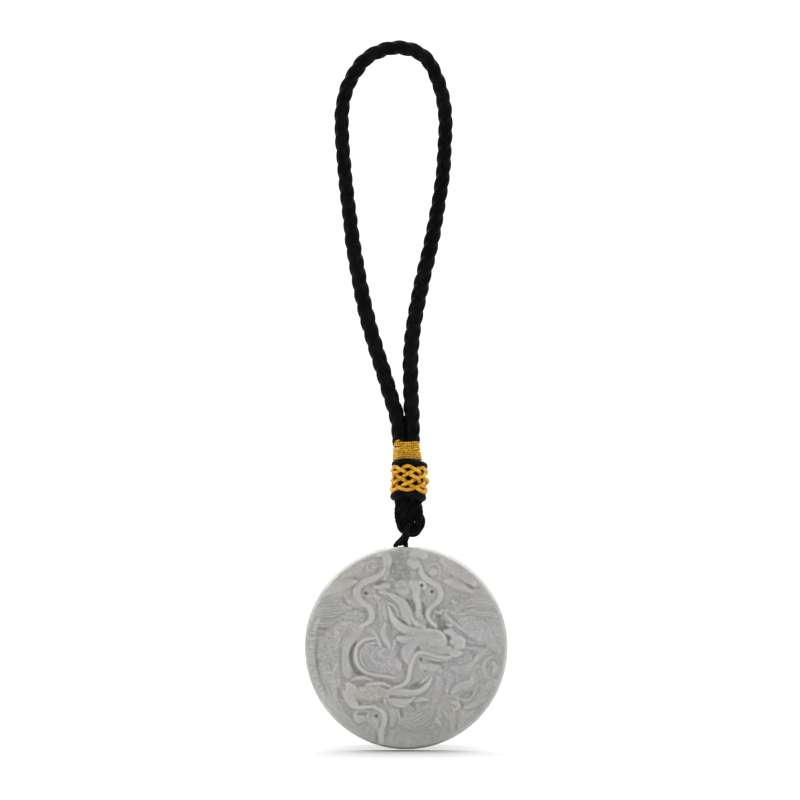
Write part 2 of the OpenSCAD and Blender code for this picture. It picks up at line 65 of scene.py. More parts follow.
# The rope's turned end below the knot, and its radius at each of these points. It is thinnest at the turn.
BIGHT_PATH = [
    (-1.3, 0.3, -119.2), (-1.3, 0.25, -120.2), (-1.2, 0.15, -121.6), (-1.18, 0, -123.2), (-1.22, 0, -124.3),
    (-1.28, 0, -125.4), (-1.25, 0, -126.5), (-0.9, 0, -127.7), (-0.05, 0, -128.6), (1.15, 0, -128.9),
    (2.35, 0, -128.7), (3.25, 0, -127.9), (3.6, 0, -126.7), (3.5, 0, -125.4), (3.1, 0, -124.3),
    (2.7, 0, -123.2), (2.65, 0.15, -121.6), (2.7, 0.25, -120.2), (2.7, 0.3, -119.2)]
BIGHT_RADIUS = (1.9, 1.9, 1.95, 1.85, 1.75, 1.65, 1.55, 1.5, 1.5, 1.55, 1.6, 1.55, 1.55, 1.65, 1.85, 1.85, 1.95,
                1.9, 1.9)
# The thin cord, a ring through the stone's hole and over the rope's turned end.
LINK_PATH = [
    (-0.1, 0, -134.6), (-0.33, 0, -135.17), (-0.9, 0, -135.4), (-2.1, 0, -135.4), (-2.67, 0, -135.17),
    (-2.9, 0, -134.6), (-2.9, 0, -133.6), (-2.9, 0, -132.9), (-2.6, 0.1, -132.3), (-1.9, 0.6, -131.6),
    (-1.1, 1.4, -130.8), (-0.5, 2, -129.9), (-0.2, 2.32, -128.8), (0.2, 2.27, -128.1), (0.65, 1.8, -127.3),
    (0.98, 0.98, -126.75), (1.08, 0, -126.55), (0.98, -0.98, -126.75), (0.65, -1.8, -127.3),
    (0.2, -2.27, -128.1), (-0.2, -2.32, -128.8), (-0.4, -2, -129.8), (-0.4, -1.1, -131),
    (-0.25, -0.4, -131.9), (-0.1, -0.05, -132.6), (-0.1, 0, -133.4)]
# A strand that fills the turned end, and short ends of thin cord: a tail that lies along it, a neck below it, and
# a foot and a toe that spread over the stone's top edge.
FILLER_PATH = [(0.8, 0.6, -120), (0.8, 0.7, -122.4), (0.95, 0.6, -124.6), (0.95, 0.6, -126.6),
               (1.2, 0.5, -128.2)]
TAIL_PATH = [(-1.4, -1.5, -128.4), (-2.4, -1.25, -126.4), (-2.75, -1.2, -123.6), (-2.5, -1.2, -121.2)]
NECK_PATH = [(0.5, -1.4, -128.8), (0.2, -1.2, -130.2), (-0.25, -0.7, -131.4), (-0.35, 0, -132.7)]
FOOT_PATH = [(-0.5, -0.6, -131.2), (-1.2, -0.35, -131.8), (-1.9, 0, -132.2), (-2.35, 0.1, -132.5)]
TOE_PATH = [(-0.9, -0.4, -131.5), (-1.2, -0.1, -132.05), (-1.4, 0.05, -132.68)]
KNOT_AT = (0.75, 1.2, -115)  # middle of the knot
KNOT_LEAN = 9  # degrees that its top leans back
KNOT_ROLL = 2.5  # degrees that its top leans right
DISC_Z = -160.3  # middle of the stone
END_ROUND = 0.5  # length over which a cut cord's end is rounded
STRANDS, YARNS = 3, 9  # strands of the rope, and yarns that show on each
UPRIGHT = (0, 0, 1)  # where the seams of the rings of cord face

# ---- Carving of the stone, in millimetres from the disc's centre ----
# FORMS rows: "group: finish level: path", with the path as "x z half width, x z half width". The level is the
# height of the crest above the domed face. A row without a group belongs to the one above, and an indented line
# carries its row on. Rows of one group flow into each other, and later groups lie in front. A row without a finish
# is smooth. The others are soft, which is smooth with a wider flank, scales, hair and scutes.
FORMS = """
petal high left: -0.4: -17.4 18.9 .3, -15.4 20.4 1.3, -13.2 21.6 1.6, -11.6 22.6 .7
petal high right: -0.35: 9.6 23.7 .7, 12 22.2 1.8, 15.2 20 1.9, 18.2 17.6 .9
leaf left: -0.3: -22.4 14.2 .2, -20.4 15.6 1.2, -17.6 16.9 1.7, -14.8 17.8 1.2, -13.4 18 .4
leaf right: -0.3: 10.6 18.2 .5, 12.8 17.6 1.3, 15 16.5 1.1, 17.9 15.1 .2
curl left: -0.68: -8 23.2 .25, -9.6 23.5 .4, -10.6 22.6 .45, -10.2 21.2 .4, -8.6 20.9 .25
: -0.73: -9.2 22.2 .4, -8.8 21.9 .55, -8.2 22 .4
ring right: -0.75: 5.6 21 .2, 6 22.2 .4, 7.4 22.8 .42, 8.9 21.9 .4, 9.1 20.3 .35, 8.4 19.2 .2
boss right: -0.4: 7 20.6 1, 7.4 20.6 1
ridge right a: -0.8: 10 22.2 .15, 10 20.6 .3, 10.3 18.9 .15
ridge right b: -0.85: 11.3 21.6 .1, 11.2 20.4 .25, 11.6 19.2 .1
cloud top left: 0: -7.4 25.3 .6, -6.2 25.5 1.1, -5.3 24.7 1.25, -5 23.4 1.2, -5.3 22 .9
: 0.12: -5.8 24.8 .4, -5.4 23.8 .4
cloud top right: 0: 1.8 25.4 1.1, 3 25.6 1.3, 4.6 25 1.1
: 0.15: 1.7 23.2 1.5, 2.2 22.8 1.5
curl centre: -1.15: -3.9 25.3 .3, -2.2 25.3 .5, -1.3 24.5 .5, -1.6 23.5 .3
facet line: -1.45: -2 22.7 .2, -0.2 21.9 .35, 1.3 20.8 .2
drop centre: -1: 1.9 21 .25, 2.1 20 .5, 2.1 19.1 .3
waves left: hair -0.75: -25 9.6 1.2, -21.4 10 2.4, -18 10.4 2.2, -15.6 10.4 1
: hair -0.8: -24.4 6.6 .6, -20.4 6.8 1.4, -16.4 7 1.8, -13.4 6.4 1.4, -11.6 5.6 .4
rim band left: scutes -0.3: -23.8 7.6 .6, -25 4.4 .8, -25.5 0.4 .85, -25.4 -3.6 .85, -24.2 -8.6 .85,
  -22.2 -12.6 .8, -19.6 -16 .4
rim leaf low: -0.8: -19.8 -16.2 .3, -17.6 -18.2 1.2, -15.4 -19.8 1.2, -13.4 -21 .4
body left: scales -0.5: -15.4 7.4 .8, -17.6 5.8 1.7, -20 3 2.5, -20.9 -0.4 3, -20.8 -3.6 2.9, -20 -6.8 2.4,
  -19.2 -9.4 1.4
: -0.42: -21.4 -0.6 .9, -21.1 -0.6 .9
: -0.42: -19.4 1 .8, -18.8 0.6 .7
spindle left: -0.45: -23 3.3 .1, -22.6 2.2 .32, -22.8 1 .1
leaf low left a: -0.75: -22.2 -10 .2, -21.2 -11.6 .6, -20.6 -13.2 .4
leaf low left b: -0.75: -21.8 -12.4 .2, -21.2 -14 .45, -20.2 -15.2 .2
spindle low left: -0.5: -19.6 -14.2 .1, -19.1 -15.3 .32, -19.1 -16.5 .1
scaly coil left: scales -0.85: -17.2 8.4 .9, -15 9 1.5, -12.8 8.7 1.5, -11.6 7.6 .8
plate left: -0.55: -15.1 12.6 .9, -13.4 12.4 1.3, -12.2 12 1
body right: scales -0.7: 12.4 9.8 .9, 14.6 8.8 1.7, 17 7 2.4, 18.6 4.6 2.4, 19.4 2.6 1.2
: -0.5: 15.3 6.5 .15, 16.3 7.4 .35, 17.8 7.2 .2
: -0.5: 16.7 5.2 .2, 17.2 5.6 .3, 17.7 5 .3, 17.2 4.4 .2
cloud right: -0.6: 22.2 1.4 .5, 23.6 0.6 1.2, 25 -0.6 1
rim line right: -0.9: 19.4 8 .2, 21.4 6.8 .4, 22.6 4.8 .4, 22.8 2.8 .3, 22.2 1.2 .15
waves right: hair -0.7: 13.4 10.4 .5, 16.2 12 1.3, 19.6 12.6 1.9, 23 12.2 1.3
: hair -0.8: 14 9 .5, 17.4 9.8 1, 21 9.8 1.4, 24.4 8.8 .8
knob right a: -0.55: 12.5 12.9 .5, 13.2 12 .6
knob right b: -0.7: 12.3 11.9 .2, 13.2 11.1 .4, 14.6 10.8 .2
knob right c: -0.7: 14.9 13 .4, 15.4 12.4 .4
spine a: -0.5: 10.2 9.9 .15, 10.9 8.9 .5, 11.6 7.6 .2
spine b: -0.45: 11.2 8.6 .15, 11.9 7.6 .45, 12.4 6.4 .2
spine c: -0.5: 8 10 .2, 9 9.6 .4, 10 10.4 .4, 11.4 10 .2
diagonal a: -0.45: 12.4 7.4 .15, 13.9 6.1 .42, 15.6 4.5 .15
diagonal b: -0.4: 10.9 6.4 .1, 11.7 6.2 .36, 12.4 6 .1
diagonal c: -0.4: 10.9 5.1 .1, 11.8 5 .32, 12.8 4.8 .1
leaf east: -0.7: 17.8 -4.2 .3, 19 -2.9 .8, 20.4 -1.4 .9, 21.6 -0.2 .3
spiral: -0.4: 23.6 -4.2 .6, 24 -5.2 .9, 23.6 -6.2 .7
: -0.6: 23.4 -2.2 .3, 21.6 -3 .5, 20.9 -4.8 .55, 21.4 -7 .55, 22.8 -8.4 .5, 24.2 -8.8 .3
plate right low: -0.75: 8.7 -8.2 .9, 8.8 -10.4 1.5, 8.3 -12.6 1.6, 7.6 -14.4 1
scales right low: scales -0.7: 9 -6 .6, 10.8 -7 1.3, 11.8 -9 1.4, 11 -11 .8, 10.6 -12.4 .4
plate east low: -0.6: 12.6 -5.4 .7, 14.4 -5.9 1.5, 16.2 -5.6 1.5, 17.2 -4.6 .9
line east: -0.8: 18 -5 .1, 18.4 -7.3 .28, 19.1 -9.3 .32, 18.8 -11.2 .32, 18 -12.9 .25, 16.6 -14.4 .15
streaks east: hair -0.8: 22.6 -8.8 .6, 21.4 -11 1.5, 19.8 -13 1.3, 18.6 -14.4 .5
flame: -0.3: 12.2 -12.4 .4, 13.2 -11 .9, 14.8 -10.2 1.25, 16.4 -9.7 1.35, 17.6 -8.8 .8, 17.6 -7.4 .2
swirl south: soft -0.8: 10.4 -13.6 .3, 11.6 -12.8 .5, 13 -13 .55, 13.9 -14 .5, 13.8 -15 .3
claw low right: -0.35: 12.4 -14.6 .4, 13.4 -14.9 .8, 14 -15.7 .6, 13.6 -16.4 .3
: -0.5: 12.4 -15.7 .25, 12.9 -16.7 .4, 12.7 -17.5 .15
lobe south east: -0.6: 16 -16 .3, 17.5 -15.5 1.1, 19.6 -14.5 .9, 21.4 -13.6 .3
band south east: -0.75: 15.3 -20.2 .4, 16.2 -18.2 1, 17.8 -17.3 .6, 19.2 -16.6 .2
spindle south east: -0.45: 15.5 -16.9 .1, 15.4 -17.7 .3, 15 -18.7 .1
column south: -0.75: 12.2 -18.2 .6, 12.3 -20 .85, 12.1 -22.2 .5
: -0.6: 11.4 -18.4 .15, 11.4 -18.8 .28, 11.5 -19.4 .12
bar south east: -0.55: 9.2 -16.3 .12, 10.2 -17.2 .3, 10.9 -18.3 .3, 11.2 -19.2 .12
lumps low: scales -0.75: 8.6 -15.6 .7, 8.6 -17.6 1.2, 8.4 -19.8 1.2, 9.4 -21 .7
waves low: hair -0.8: -1.2 -19.9 1.4, 1.4 -20.3 2.6, 4 -19.6 2.4, 6.4 -17.8 1.5, 7.4 -15.8 .8
column low: -0.7: -3.9 -16.8 .8, -3.5 -18.6 1.3, -3.9 -20.8 .6
facets low: -0.85: -2.6 -22 .2, -3.8 -23.4 1, -4.2 -25 .9
spindle low: -0.5: -2.2 -17.6 .12, -1.9 -18.4 .32, -2 -19.3 .12
scute band: -0.5: -11.4 6.2 .5, -12.6 5.2 1, -13.8 3.8 1.3, -15.2 2.2 1.3, -16.1 0.2 1.05, -16.4 -1.8 .95,
  -16.4 -3.8 1, -16.1 -5.8 1.15, -15.6 -7.6 .8
: -0.35: -14.1 5.1 .4, -13.8 4.9 .45
sliver left: -0.6: -15.7 -2.8 .1, -15.3 -4.4 .18, -14.6 -6 .1
coil: scales -0.4: -10.6 -0.2 1.6, -9.4 -1.6 3.2, -7.6 -2.8 3.6, -5.2 -3.8 3.2, -3.4 -4.8 2.2
coil rim: -0.18: -8.2 2.8 .3, -10.2 2.6 .5, -11.8 1.9 .55, -13.1 0.6 .55, -13.7 -1.4 .5, -13.5 -3.4 .55,
  -12.3 -5.4 .6, -10.2 -6.7 .6, -7.6 -7.3 .55, -5 -7.7 .4, -3.2 -8.1 .2
coil ridge: -0.38: -8.2 1.5 .2, -10.2 1.2 .35, -11.7 0 .4, -12.3 -1.8 .4, -12 -3.6 .4, -10.8 -5.2 .4,
  -8.8 -6 .35, -6.8 -6.4 .2
coil ridge b: -0.45: -8.4 0.1 .15, -9.8 -0.5 .3, -10.6 -1.8 .32, -10.2 -3.4 .3, -9 -4.4 .2
lobe left a: -0.3: -5.6 6.8 .3, -6.2 5.2 .8, -6 3.4 .85, -5.2 1.6 .7, -4.4 0 .3
lobe left b: -0.35: -8.8 4.6 .25, -8 3.2 .45, -7.2 1.4 .4, -6.4 -0.4 .15
lobe left c: -0.4: -3.2 2 .2, -3.2 1 .4, -3.6 0 .35, -3.9 -1.2 .2
web right: -0.85: 4.6 16.6 .8, 6.6 15 1.9, 6.8 13 1.2, 6.2 11.8 .6
scroll left: -0.8: -10.6 17 .8, -10 15 1.5, -9.8 13 1, -9 11 .5
: -0.45: -9.4 16.3 .5, -9 15.7 .75, -8.8 15 .5
: -0.5: -9.4 13 .55, -8.9 12.6 .5
claw left: -0.12: -8.5 16.6 .4, -7.2 16.4 .65, -5.9 16.8 .85, -5 16.8 .8
: -0.2: -6.8 15.3 .6, -5.8 15.2 .75
: -0.35: -8.8 14.3 .45, -7.8 13.6 .7
fin left: -0.5: -5 22 .3, -5.5 20.4 .8, -5.7 18.8 .5
scroll centre: -0.15: -2.1 17 1, -1.4 17.3 1.1, -0.2 17 1
: -0.25: -1.6 15.6 1.1, -0.6 15.2 1.1, 0.2 15.8 .9
scroll right: 0: 1.5 17.1 1.2, 2.3 16.8 1.5, 2.7 15.4 1.1, 2.7 13.8 .8, 3.2 12.2 .75, 3.3 10.8 .65,
  3.1 10.1 .45
scroll right knob: -0.1: 4 17.6 .8, 4.6 17.1 .8, 4.9 16.3 .5
mane back: -0.6: 3.2 10 .5, 3.6 8.4 1.1, 4.6 6.9 .8
lock thin: -0.4: -5 12.2 .15, -4 11.9 .4, -2.9 11 .5, -2.4 9.8 .35, -2.3 9 .2
mane lock: hair -0.05: -5.4 15 .15, -3.8 14.1 .65, -2.2 13.1 1.1, -0.9 11.6 1.35, -0.1 9.8 1.45, 0.5 8.2 1.2,
  1 6.8 .7
tongue left: -0.5: -6.2 11.3 .3, -5.8 9.6 .8, -5.4 7.9 .4
strand left: -0.6: -7.9 13 .2, -7.1 11.4 .35, -7.2 9.6 .35, -6.8 8.2 .15
whisker left: 0.05: -5.6 21.6 .35, -6.8 20 .75, -9 18.7 .85, -11.7 17.6 .9, -13.2 15.9 .95, -13.3 14.4 .95,
  -12.5 12.9 .9, -11.4 12 .8, -10 11 .8, -9.3 9.5 .85, -9.5 7.9 .8, -10.8 6.6 .6, -12.4 6 .3
whisker right: 0.05: 3.9 22.2 .4, 4.2 20.2 .75, 5.2 18.8 .82, 7 17.7 .82, 8.7 16.4 .85, 9.3 14.7 .85,
  8.8 13 .8, 7.3 11.6 .75, 6.1 10.2 .7, 5.8 8.8 .6, 6.6 7.3 .65, 8 6 .5
low brow: -0.3: -15 -8.6 .25, -12.8 -8 .5, -10.8 -8 .5, -9.4 -8.6 .3
low head: scales 0: -12.6 -12.2 1.6, -10 -12 2.1, -7.6 -12 2, -5.4 -12.4 1.2
: 0.2: -10.6 -9.8 .3, -8.6 -9.5 .5, -6 -9.6 .4, -4.4 -10.3 .3
: 0.3: -15.4 -9.9 .9, -15 -11 1.9, -15 -12.5 1.9, -14.7 -14 1.5, -13.7 -15.3 .8
: 0.2: -15 -15.4 .4, -13.2 -16 .6, -10.8 -15.9 .55, -8.4 -15.7 .45
: 0.05: -9.1 -10.6 .1, -8.6 -12.3 .2, -8 -14 .1
: 0.05: -6 -13.6 .1, -5.7 -14.3 .3, -5.5 -15 .1
low chin: -0.45: -13.4 -17.2 .35, -11.4 -16.8 .3, -9.8 -17 .2
: -0.35: -13.9 -17.9 .3, -13.5 -19.2 .6, -12.6 -19.9 .45, -11.9 -19.7 .2
: -0.6: -12.3 -18.9 .8, -11.2 -19.2 .8
web low: -0.6: -9.2 -19.4 .6, -8.4 -20.2 1.2, -7.5 -21.8 .5
tongue low: -0.4: -10.4 -17.6 .15, -10.4 -18.9 .3, -9.6 -20.4 .32, -8.4 -21.4 .3, -7.6 -22.8 .15
low horns: 0.05: -4.6 -11.8 .7, -1.9 -11.8 1.1, 0.9 -12.1 .95, 3 -11.8 .8, 4.6 -11 .7, 5.8 -9.8 .6,
  6.9 -7.8 .15
: hair -0.1: -4.8 -14 .5, -2.8 -14.6 1.2, -0.6 -14.7 1.1, 1 -14.1 .7, 2.3 -13.2 .2
horn low c: -0.35: 2.3 -14.2 .3, 3.6 -13.8 .8, 5 -13.8 .5, 6 -14.2 .15
lock low: -0.4: 3.9 -9.3 .15, 4.9 -8.6 .4, 6 -7.3 .2
whisker low: 0.05: -8.6 -16 .35, -7 -16.7 .55, -6 -17.8 .65, -5.8 -19.2 .65, -6.2 -21.2 .65,
  -6.8 -23.2 .75, -6.7 -25.4 .7
plate mid: -0.6: 4.2 -4.9 .9, 6.4 -5.1 1.3, 8.4 -5.2 .8
horn short: 0.3: 1.5 8.6 .12, 2.1 7.4 .5, 3 6.4 .8, 4.4 5.5 1
head: 0.4: -4.7 11.2 .1, -4.2 9.4 .5, -3.4 7.7 .85, -2.2 6.3 1.05, -0.4 5.2 1.15, 1.6 4.7 1.2, 3.6 4.6 1.1
: 0.38: -2 2.7 .7, -1 2.5 1.05, 0.6 2.4 1.3, 2.4 2.4 1.6, 4.6 2.4 2
: 0.38: 3.4 2.8 1.7, 5.6 2.5 2.2, 7.4 2.2 2.3, 9 1.8 2
: 0.62: 4.4 4.8 .7, 6.6 4.5 .8, 8.6 4.2 .8, 9.8 3.4 .65, 10.3 2.4 .4
: 0.75: 6.6 1.2 .5, 7.8 1.4 .85, 9.1 1.5 .8, 10.1 1.2 .35
: 0.25: 1.6 1.2 1.4, 0.5 -0.6 1.7, 0.3 -2.1 1.5, 0.7 -3.6 .9
: -0.02: 4.6 0.4 1, 6.6 -0.3 .9, 8.6 -0.6 1, 10.4 -0.6 1.2, 11.6 -0.4 1.1
: 0.2: 10.4 4.5 .5, 11.8 4.2 .8, 13 3.4 .9
: 0.5: 12.9 1.9 1.2, 13.9 1.7 1.75, 14.2 1.1 1.6, 13.9 0.4 1.1
: 0.85: 12.5 1.6 .3, 13 2.6 .4, 14.3 3 .45, 15.4 2 .45, 15.4 0.4 .35
: 0.45: 12.2 -1 1, 13.1 -1.2 1.2, 14.1 -1.2 .8
: 0.6: 12 -1.6 .2, 12.9 -2 .3, 14 -1.8 .3, 15 -1.2 .2
whisker mouth: 0.2: 12 -2.3 .3, 9.9 -2.5 .6, 8.2 -2.1 .65, 6.3 -1.5 .65, 4.4 -1.1 .65, 2.8 -1.5 .65,
  1.9 -2.6 .65, 1.35 -4.2 .62, 1 -6 .6, 0.7 -7.8 .58, 0 -9.2 .55, -1.4 -10.1 .5, -3.2 -10.7 .45, -4.8 -11.3 .3
whisker mouth b: -0.2: 11.2 -3.2 .15, 9 -3.3 .3, 6.8 -2.8 .3, 5 -2.3 .15
"""
# HOLLOWS rows: "name: level: path", with the level of the floor. They are cut first, and forms may stand in them.
HOLLOWS = """
well top: -1.81: -3.6 22.4 .68, -2.9 20.6 1.53, -2.2 19.2 1.02
well top right: -1.75: -0.4 21 .85, 0.4 19.6 .77, 0.9 18.8 .34
well curl left: -1.35: -7.6 23 .3, -7.6 21.6 .4, -8 20.4 .2
ring well: -1.4: 7 20.6 1.5, 7.4 20.6 1.5
line high left: -1.57: -14.6 18.7 .17, -13 18.6 .34, -11.6 18 .17
line high right: -1.7: 11.6 19.8 .17, 13.4 19.5 .21, 15 18.1 .24, 17 16.7 .4, 19.4 16.2 .2
gap centre: -2.4: 0.3 13 .15, 1.1 12.6 .45, 1.8 11.6 .45, 2.1 10.4 .15
gap right: -2.3: 4.5 12 .1, 4.8 10.8 .28, 4.8 9.8 .3, 4.6 8.6 .15
gap east: -3: 8.7 8.4 .2, 9.1 7.4 .6, 9.5 6.5 .8, 9.9 5.9 .6
gap east b: -1.8: 7.1 7.7 .15, 7.9 7.2 .35, 8.6 6.6 .3
gap left a: -1.6: -7.4 13.6 .15, -7.5 12.2 .3, -8 11 .2
gap left b: -1.5: -7.3 9 .4, -7.7 7.6 .5, -7.6 6.2 .3
gap left c: -1.6: -4.5 7 .15, -4.1 5.4 .3, -4 3.8 .25
gap horn: -1.9: -2.2 8 .1, -0.8 6.9 .2, 0.6 6.4 .2, 1.6 6 .1
gap jaw: -1.6: -1.7 1 .1, -2.2 -1.2 .25, -2 -3.4 .25, -0.8 -5.2 .15
crescent: -2.7: -13.9 1.2 .1, -14.4 -0.2 .2, -14.7 -1.8 .3, -14.7 -3.2 .35, -14.3 -4.6 .45, -13.4 -5.9 .5,
  -12.2 -6.8 .25
gap under coil: -1.5: -9.6 -7.6 .2, -7 -8.2 .35, -4 -8.5 .35, -2.6 -8.7 .2
gap under coil b: -2: -5 -8.9 .1, -4.2 -9.2 .25, -3.2 -9.5 .22, -2.2 -9.5 .1
gap south a: -2.6: 1.6 -10.4 .1, 2.6 -10 .4, 3.4 -9.6 .35, 4.2 -9 .12
gap south b: -1.81: -1 -11 .13, 0.1 -11.2 .26, 1 -10.8 .17
gap south c: -1.69: -2 -16.5 .17, 0.4 -16.8 .47, 2.6 -16.4 .42, 4.4 -15.2 .34, 5.8 -14.5 .17
gap south d: -2.23: -1.5 -16.4 .17, -1.3 -17 .3, -1.2 -18.2 .21
gap south e: -2.35: 1.5 -15 .13, 2.1 -15.7 .42, 2.2 -16.2 .17
gap south f: -1.57: 3.8 -12.9 .13, 4.9 -12.4 .34, 5.9 -11.7 .26
gap lip east: -1.6: 11.6 -3.7 .15, 12.6 -3.3 .5, 13.8 -3.2 .45, 14.8 -3.5 .2
gap mouth: -1.15: 9 -1.2 .34, 10.4 -1.1 .59, 11.6 -0.7 .34
slit east: -2: 16.5 1.4 .15, 17 1 .28, 18.4 0.8 .2, 19.6 0.6 .15, 21 0.5 .1
well east: -1.63: 15.6 -0.7 .17, 16.8 -0.6 .51, 18 -0.9 .94, 18.3 -2.3 .42, 18.3 -3 .17
band east: -1.69: 14.4 5 .13, 15.6 3.9 .3, 16.8 2.9 .51, 17.6 2.2 .34
gap flame: -1.9: 14.6 -12.9 .25, 15.6 -12.7 .6, 16.8 -12.4 .6, 17.6 -11.9 .25
gap claw: -1.8: 14.8 -14.3 .2, 15.2 -15.3 .35, 15.1 -16.1 .2
line south east: -1.57: 14 -16.8 .3, 13.9 -19 .34, 13.4 -21.8 .26
gap leaf left: -1.69: -18.8 13.6 .26, -17.2 13.2 .59, -16.3 11.8 .34, -15 10.8 .26, -12.6 10.4 .21, -11 10 .17
recess left: -1.57: -23.4 5.6 .34, -22.4 5.5 .68, -21.6 5.2 .34
line body left: -1.45: -24 0.6 .13, -24.2 -2 .26, -24 -5 .3, -23.4 -7.6 .13
shade low left: -1.57: -19.6 -6 .42, -18.2 -6.2 .94, -17 -7.4 .68, -17.6 -9.4 .59
line scute band: -1.51: -13 5.9 .13, -14.9 3.5 .21, -16.6 1.6 .26, -17.5 -0.6 .26, -17.6 -3.6 .26, -17.2 -6.2 .17
line low head: -1.8: -18.1 -11 .3, -17.9 -13 .6, -16.8 -14.8 .7, -15.5 -16.6 .8, -14.9 -18.6 .6, -14.2 -20.4 .3
slit left claw: -1.6: -8.3 17.3 .1, -7.4 17.7 .2, -6.6 18.1 .1
slit whisker: -1.9: 6.5 -3.6 .1, 7.6 -3.8 .2, 8.8 -3.9 .1
slit scroll: -1.8: -1.7 16.3 .15, -0.5 16.2 .2
mouth low: -1.69: -12.7 -17.7 .21, -11.8 -17.6 .34, -10.8 -17.5 .21
nostril low: -1.05: -12.6 -13.9 .42, -11.4 -14.2 .59, -10.4 -14.4 .34
nostril: -1.5: 11 3.7 .15, 11.3 3.2 .25, 11.4 2.6 .1
eye low: -1.63: -12.2 -9 .38, -12 -9.8 .42
facet lines: -1.35: -3.9 -21.4 .09, -5 -22.8 .17, -5.8 -24.2 .13
"""
# Drilled pits. Columns: x, z, radius.
PITS = [(-10.8, 14.9, 0.62), (7, 15.3, 0.58), (4.2, 17, 0.42), (3.9, -3, 0.62), (-8, -18.3, 0.62), (9.9, -5.1, 0.25),
        (5.2, -6.2, 0.3), (15.1, -15.4, 0.25), (5, -9, 0.25), (10.3, 10.8, 0.22)]
PIT_LEVEL = -2.6  # floor of a pit
GROUND, GROUND_EDGE = -1.3, -1.15  # ground between the forms, in the middle and near the rim
GROUND_FROM, GROUND_OVER = 13, 11  # radius where it starts to rise, and the width that it rises over
CREST = 0.55  # level that keeps its place when the carving is made shallower
ROUND = 0.3  # fall of a form from its crest to its sides, for each millimetre of half width
SLOPE, SLOPE_SMOOTH = 0.7, 0.6  # width of the flank of a tooled form and of a smooth one
WALL = 1.6  # steepness of a hollow's wall
CUT, CUT_WIDTH = 0.12, 0.18  # depth and width of the line cut round a form
SCUTE_STEP, HAIR_STEP = 1.15, 0.8  # from one plate to the next, and from one strand to the next
LINE_STEP = 0.25  # between the points of a drawn line
GRID = 0.1  # between the places where the face is worked out
SOFT, SOFT_MARKS = 1.6, 0.8  # final smoothing of the forms and of the tool marks, in cells of that grid

# The blank, before it is carved.
DISC_R = 27.5
RIM_W = 1.1  # width of the rounded rim
FLAT_TOP = 27.2  # height of the small flat where the cord goes in
DOME_CENTRE, DOME_EDGE = 5.9, 4.1  # front, in the middle and at the rim
BACK_CENTRE, BACK_EDGE = 4.4, 3.4  # back, in the middle and at the rim
HOLE_AT, HOLE_R = (-1.5, 24.9), 0.8  # the cord's hole
MOUTH_GAP = 2.8  # between the middles of its two mouths
SLOT_LONG = 4  # length of a mouth's slot
SWING = math.radians(21)  # half angle of the slots, which leaves the joint's 20 degrees free


# ---- Curves and tubes ----

def smooth_path(points, step, closed=False):
    """Evenly spaced points on a smooth curve through the given ones, and its length."""
    p = np.array(points, float)
    if closed:
        p = np.vstack([p[-3:], p, p[:3]])
    h = np.linalg.norm(np.diff(p, axis=0), axis=1)[:, None]
    slope = np.diff(p, axis=0) / h
    m = np.vstack([slope[:1], (slope[1:] * h[:-1] + slope[:-1] * h[1:]) / (h[:-1] + h[1:]), slope[-1:]])
    t = np.linspace(0, 1, 16, endpoint=False)[:, None]
    fine = [(2 * t**3 - 3 * t**2 + 1) * p[i] + (t**3 - 2 * t**2 + t) * h[i] * m[i]
            + (3 * t**2 - 2 * t**3) * p[i + 1] + (t**3 - t**2) * h[i] * m[i + 1] for i in range(len(h))]
    if closed:
        fine = np.vstack(fine[3:-2] + [fine[-2][:1]])
    else:
        fine = np.vstack(fine + [p[-1:]])
    run = np.concatenate([[0], np.cumsum(np.linalg.norm(np.diff(fine, axis=0), axis=1))])
    at = np.linspace(0, run[-1], max(8, round(run[-1] / step)) + 1)
    out = np.column_stack([np.interp(at, run, fine[:, k]) for k in range(fine.shape[1])])
    return (out[:-1] if closed else out), run[-1]


def carried_frames(path, closed, side):
    """Two side vectors at each point, carried along the path without twist."""
    tangent = np.roll(path, -1, 0) - np.roll(path, 1, 0) if closed else np.gradient(path, axis=0)
    tangent /= np.linalg.norm(tangent, axis=1)[:, None]
    u = np.empty_like(path)
    s = np.array(side, float)
    for i, t in enumerate(tangent):
        s = s - s.dot(t) * t
        s /= np.linalg.norm(s)
        u[i] = s
    v = np.cross(tangent, u)
    if closed:
        e = u[-1] - u[-1].dot(tangent[0]) * tangent[0]
        left = math.atan2(np.cross(e, u[0]).dot(tangent[0]), e.dot(u[0]))
        a = (left * np.arange(len(path)) / len(path))[:, None]
        u, v = np.cos(a) * u + np.sin(a) * v, np.cos(a) * v - np.sin(a) * u
    return u, v


def new_object(name, verts, faces, material, uv=None):
    """A smooth shaded mesh object from vertices in millimetres."""
    mesh = bpy.data.meshes.new(name)
    mesh.from_pydata((np.asarray(verts) * MM).tolist(), [], faces)
    mesh.materials.append(material)
    mesh.polygons.foreach_set("use_smooth", np.ones(len(mesh.polygons), bool))
    if uv is not None:
        layer = mesh.uv_layers.new(name="Thread")
        layer.data.foreach_set("uv", np.asarray(uv, np.float32).ravel())
    mesh.validate()
    obj = bpy.data.objects.new(name, mesh)
    bpy.context.scene.collection.objects.link(obj)
    return obj


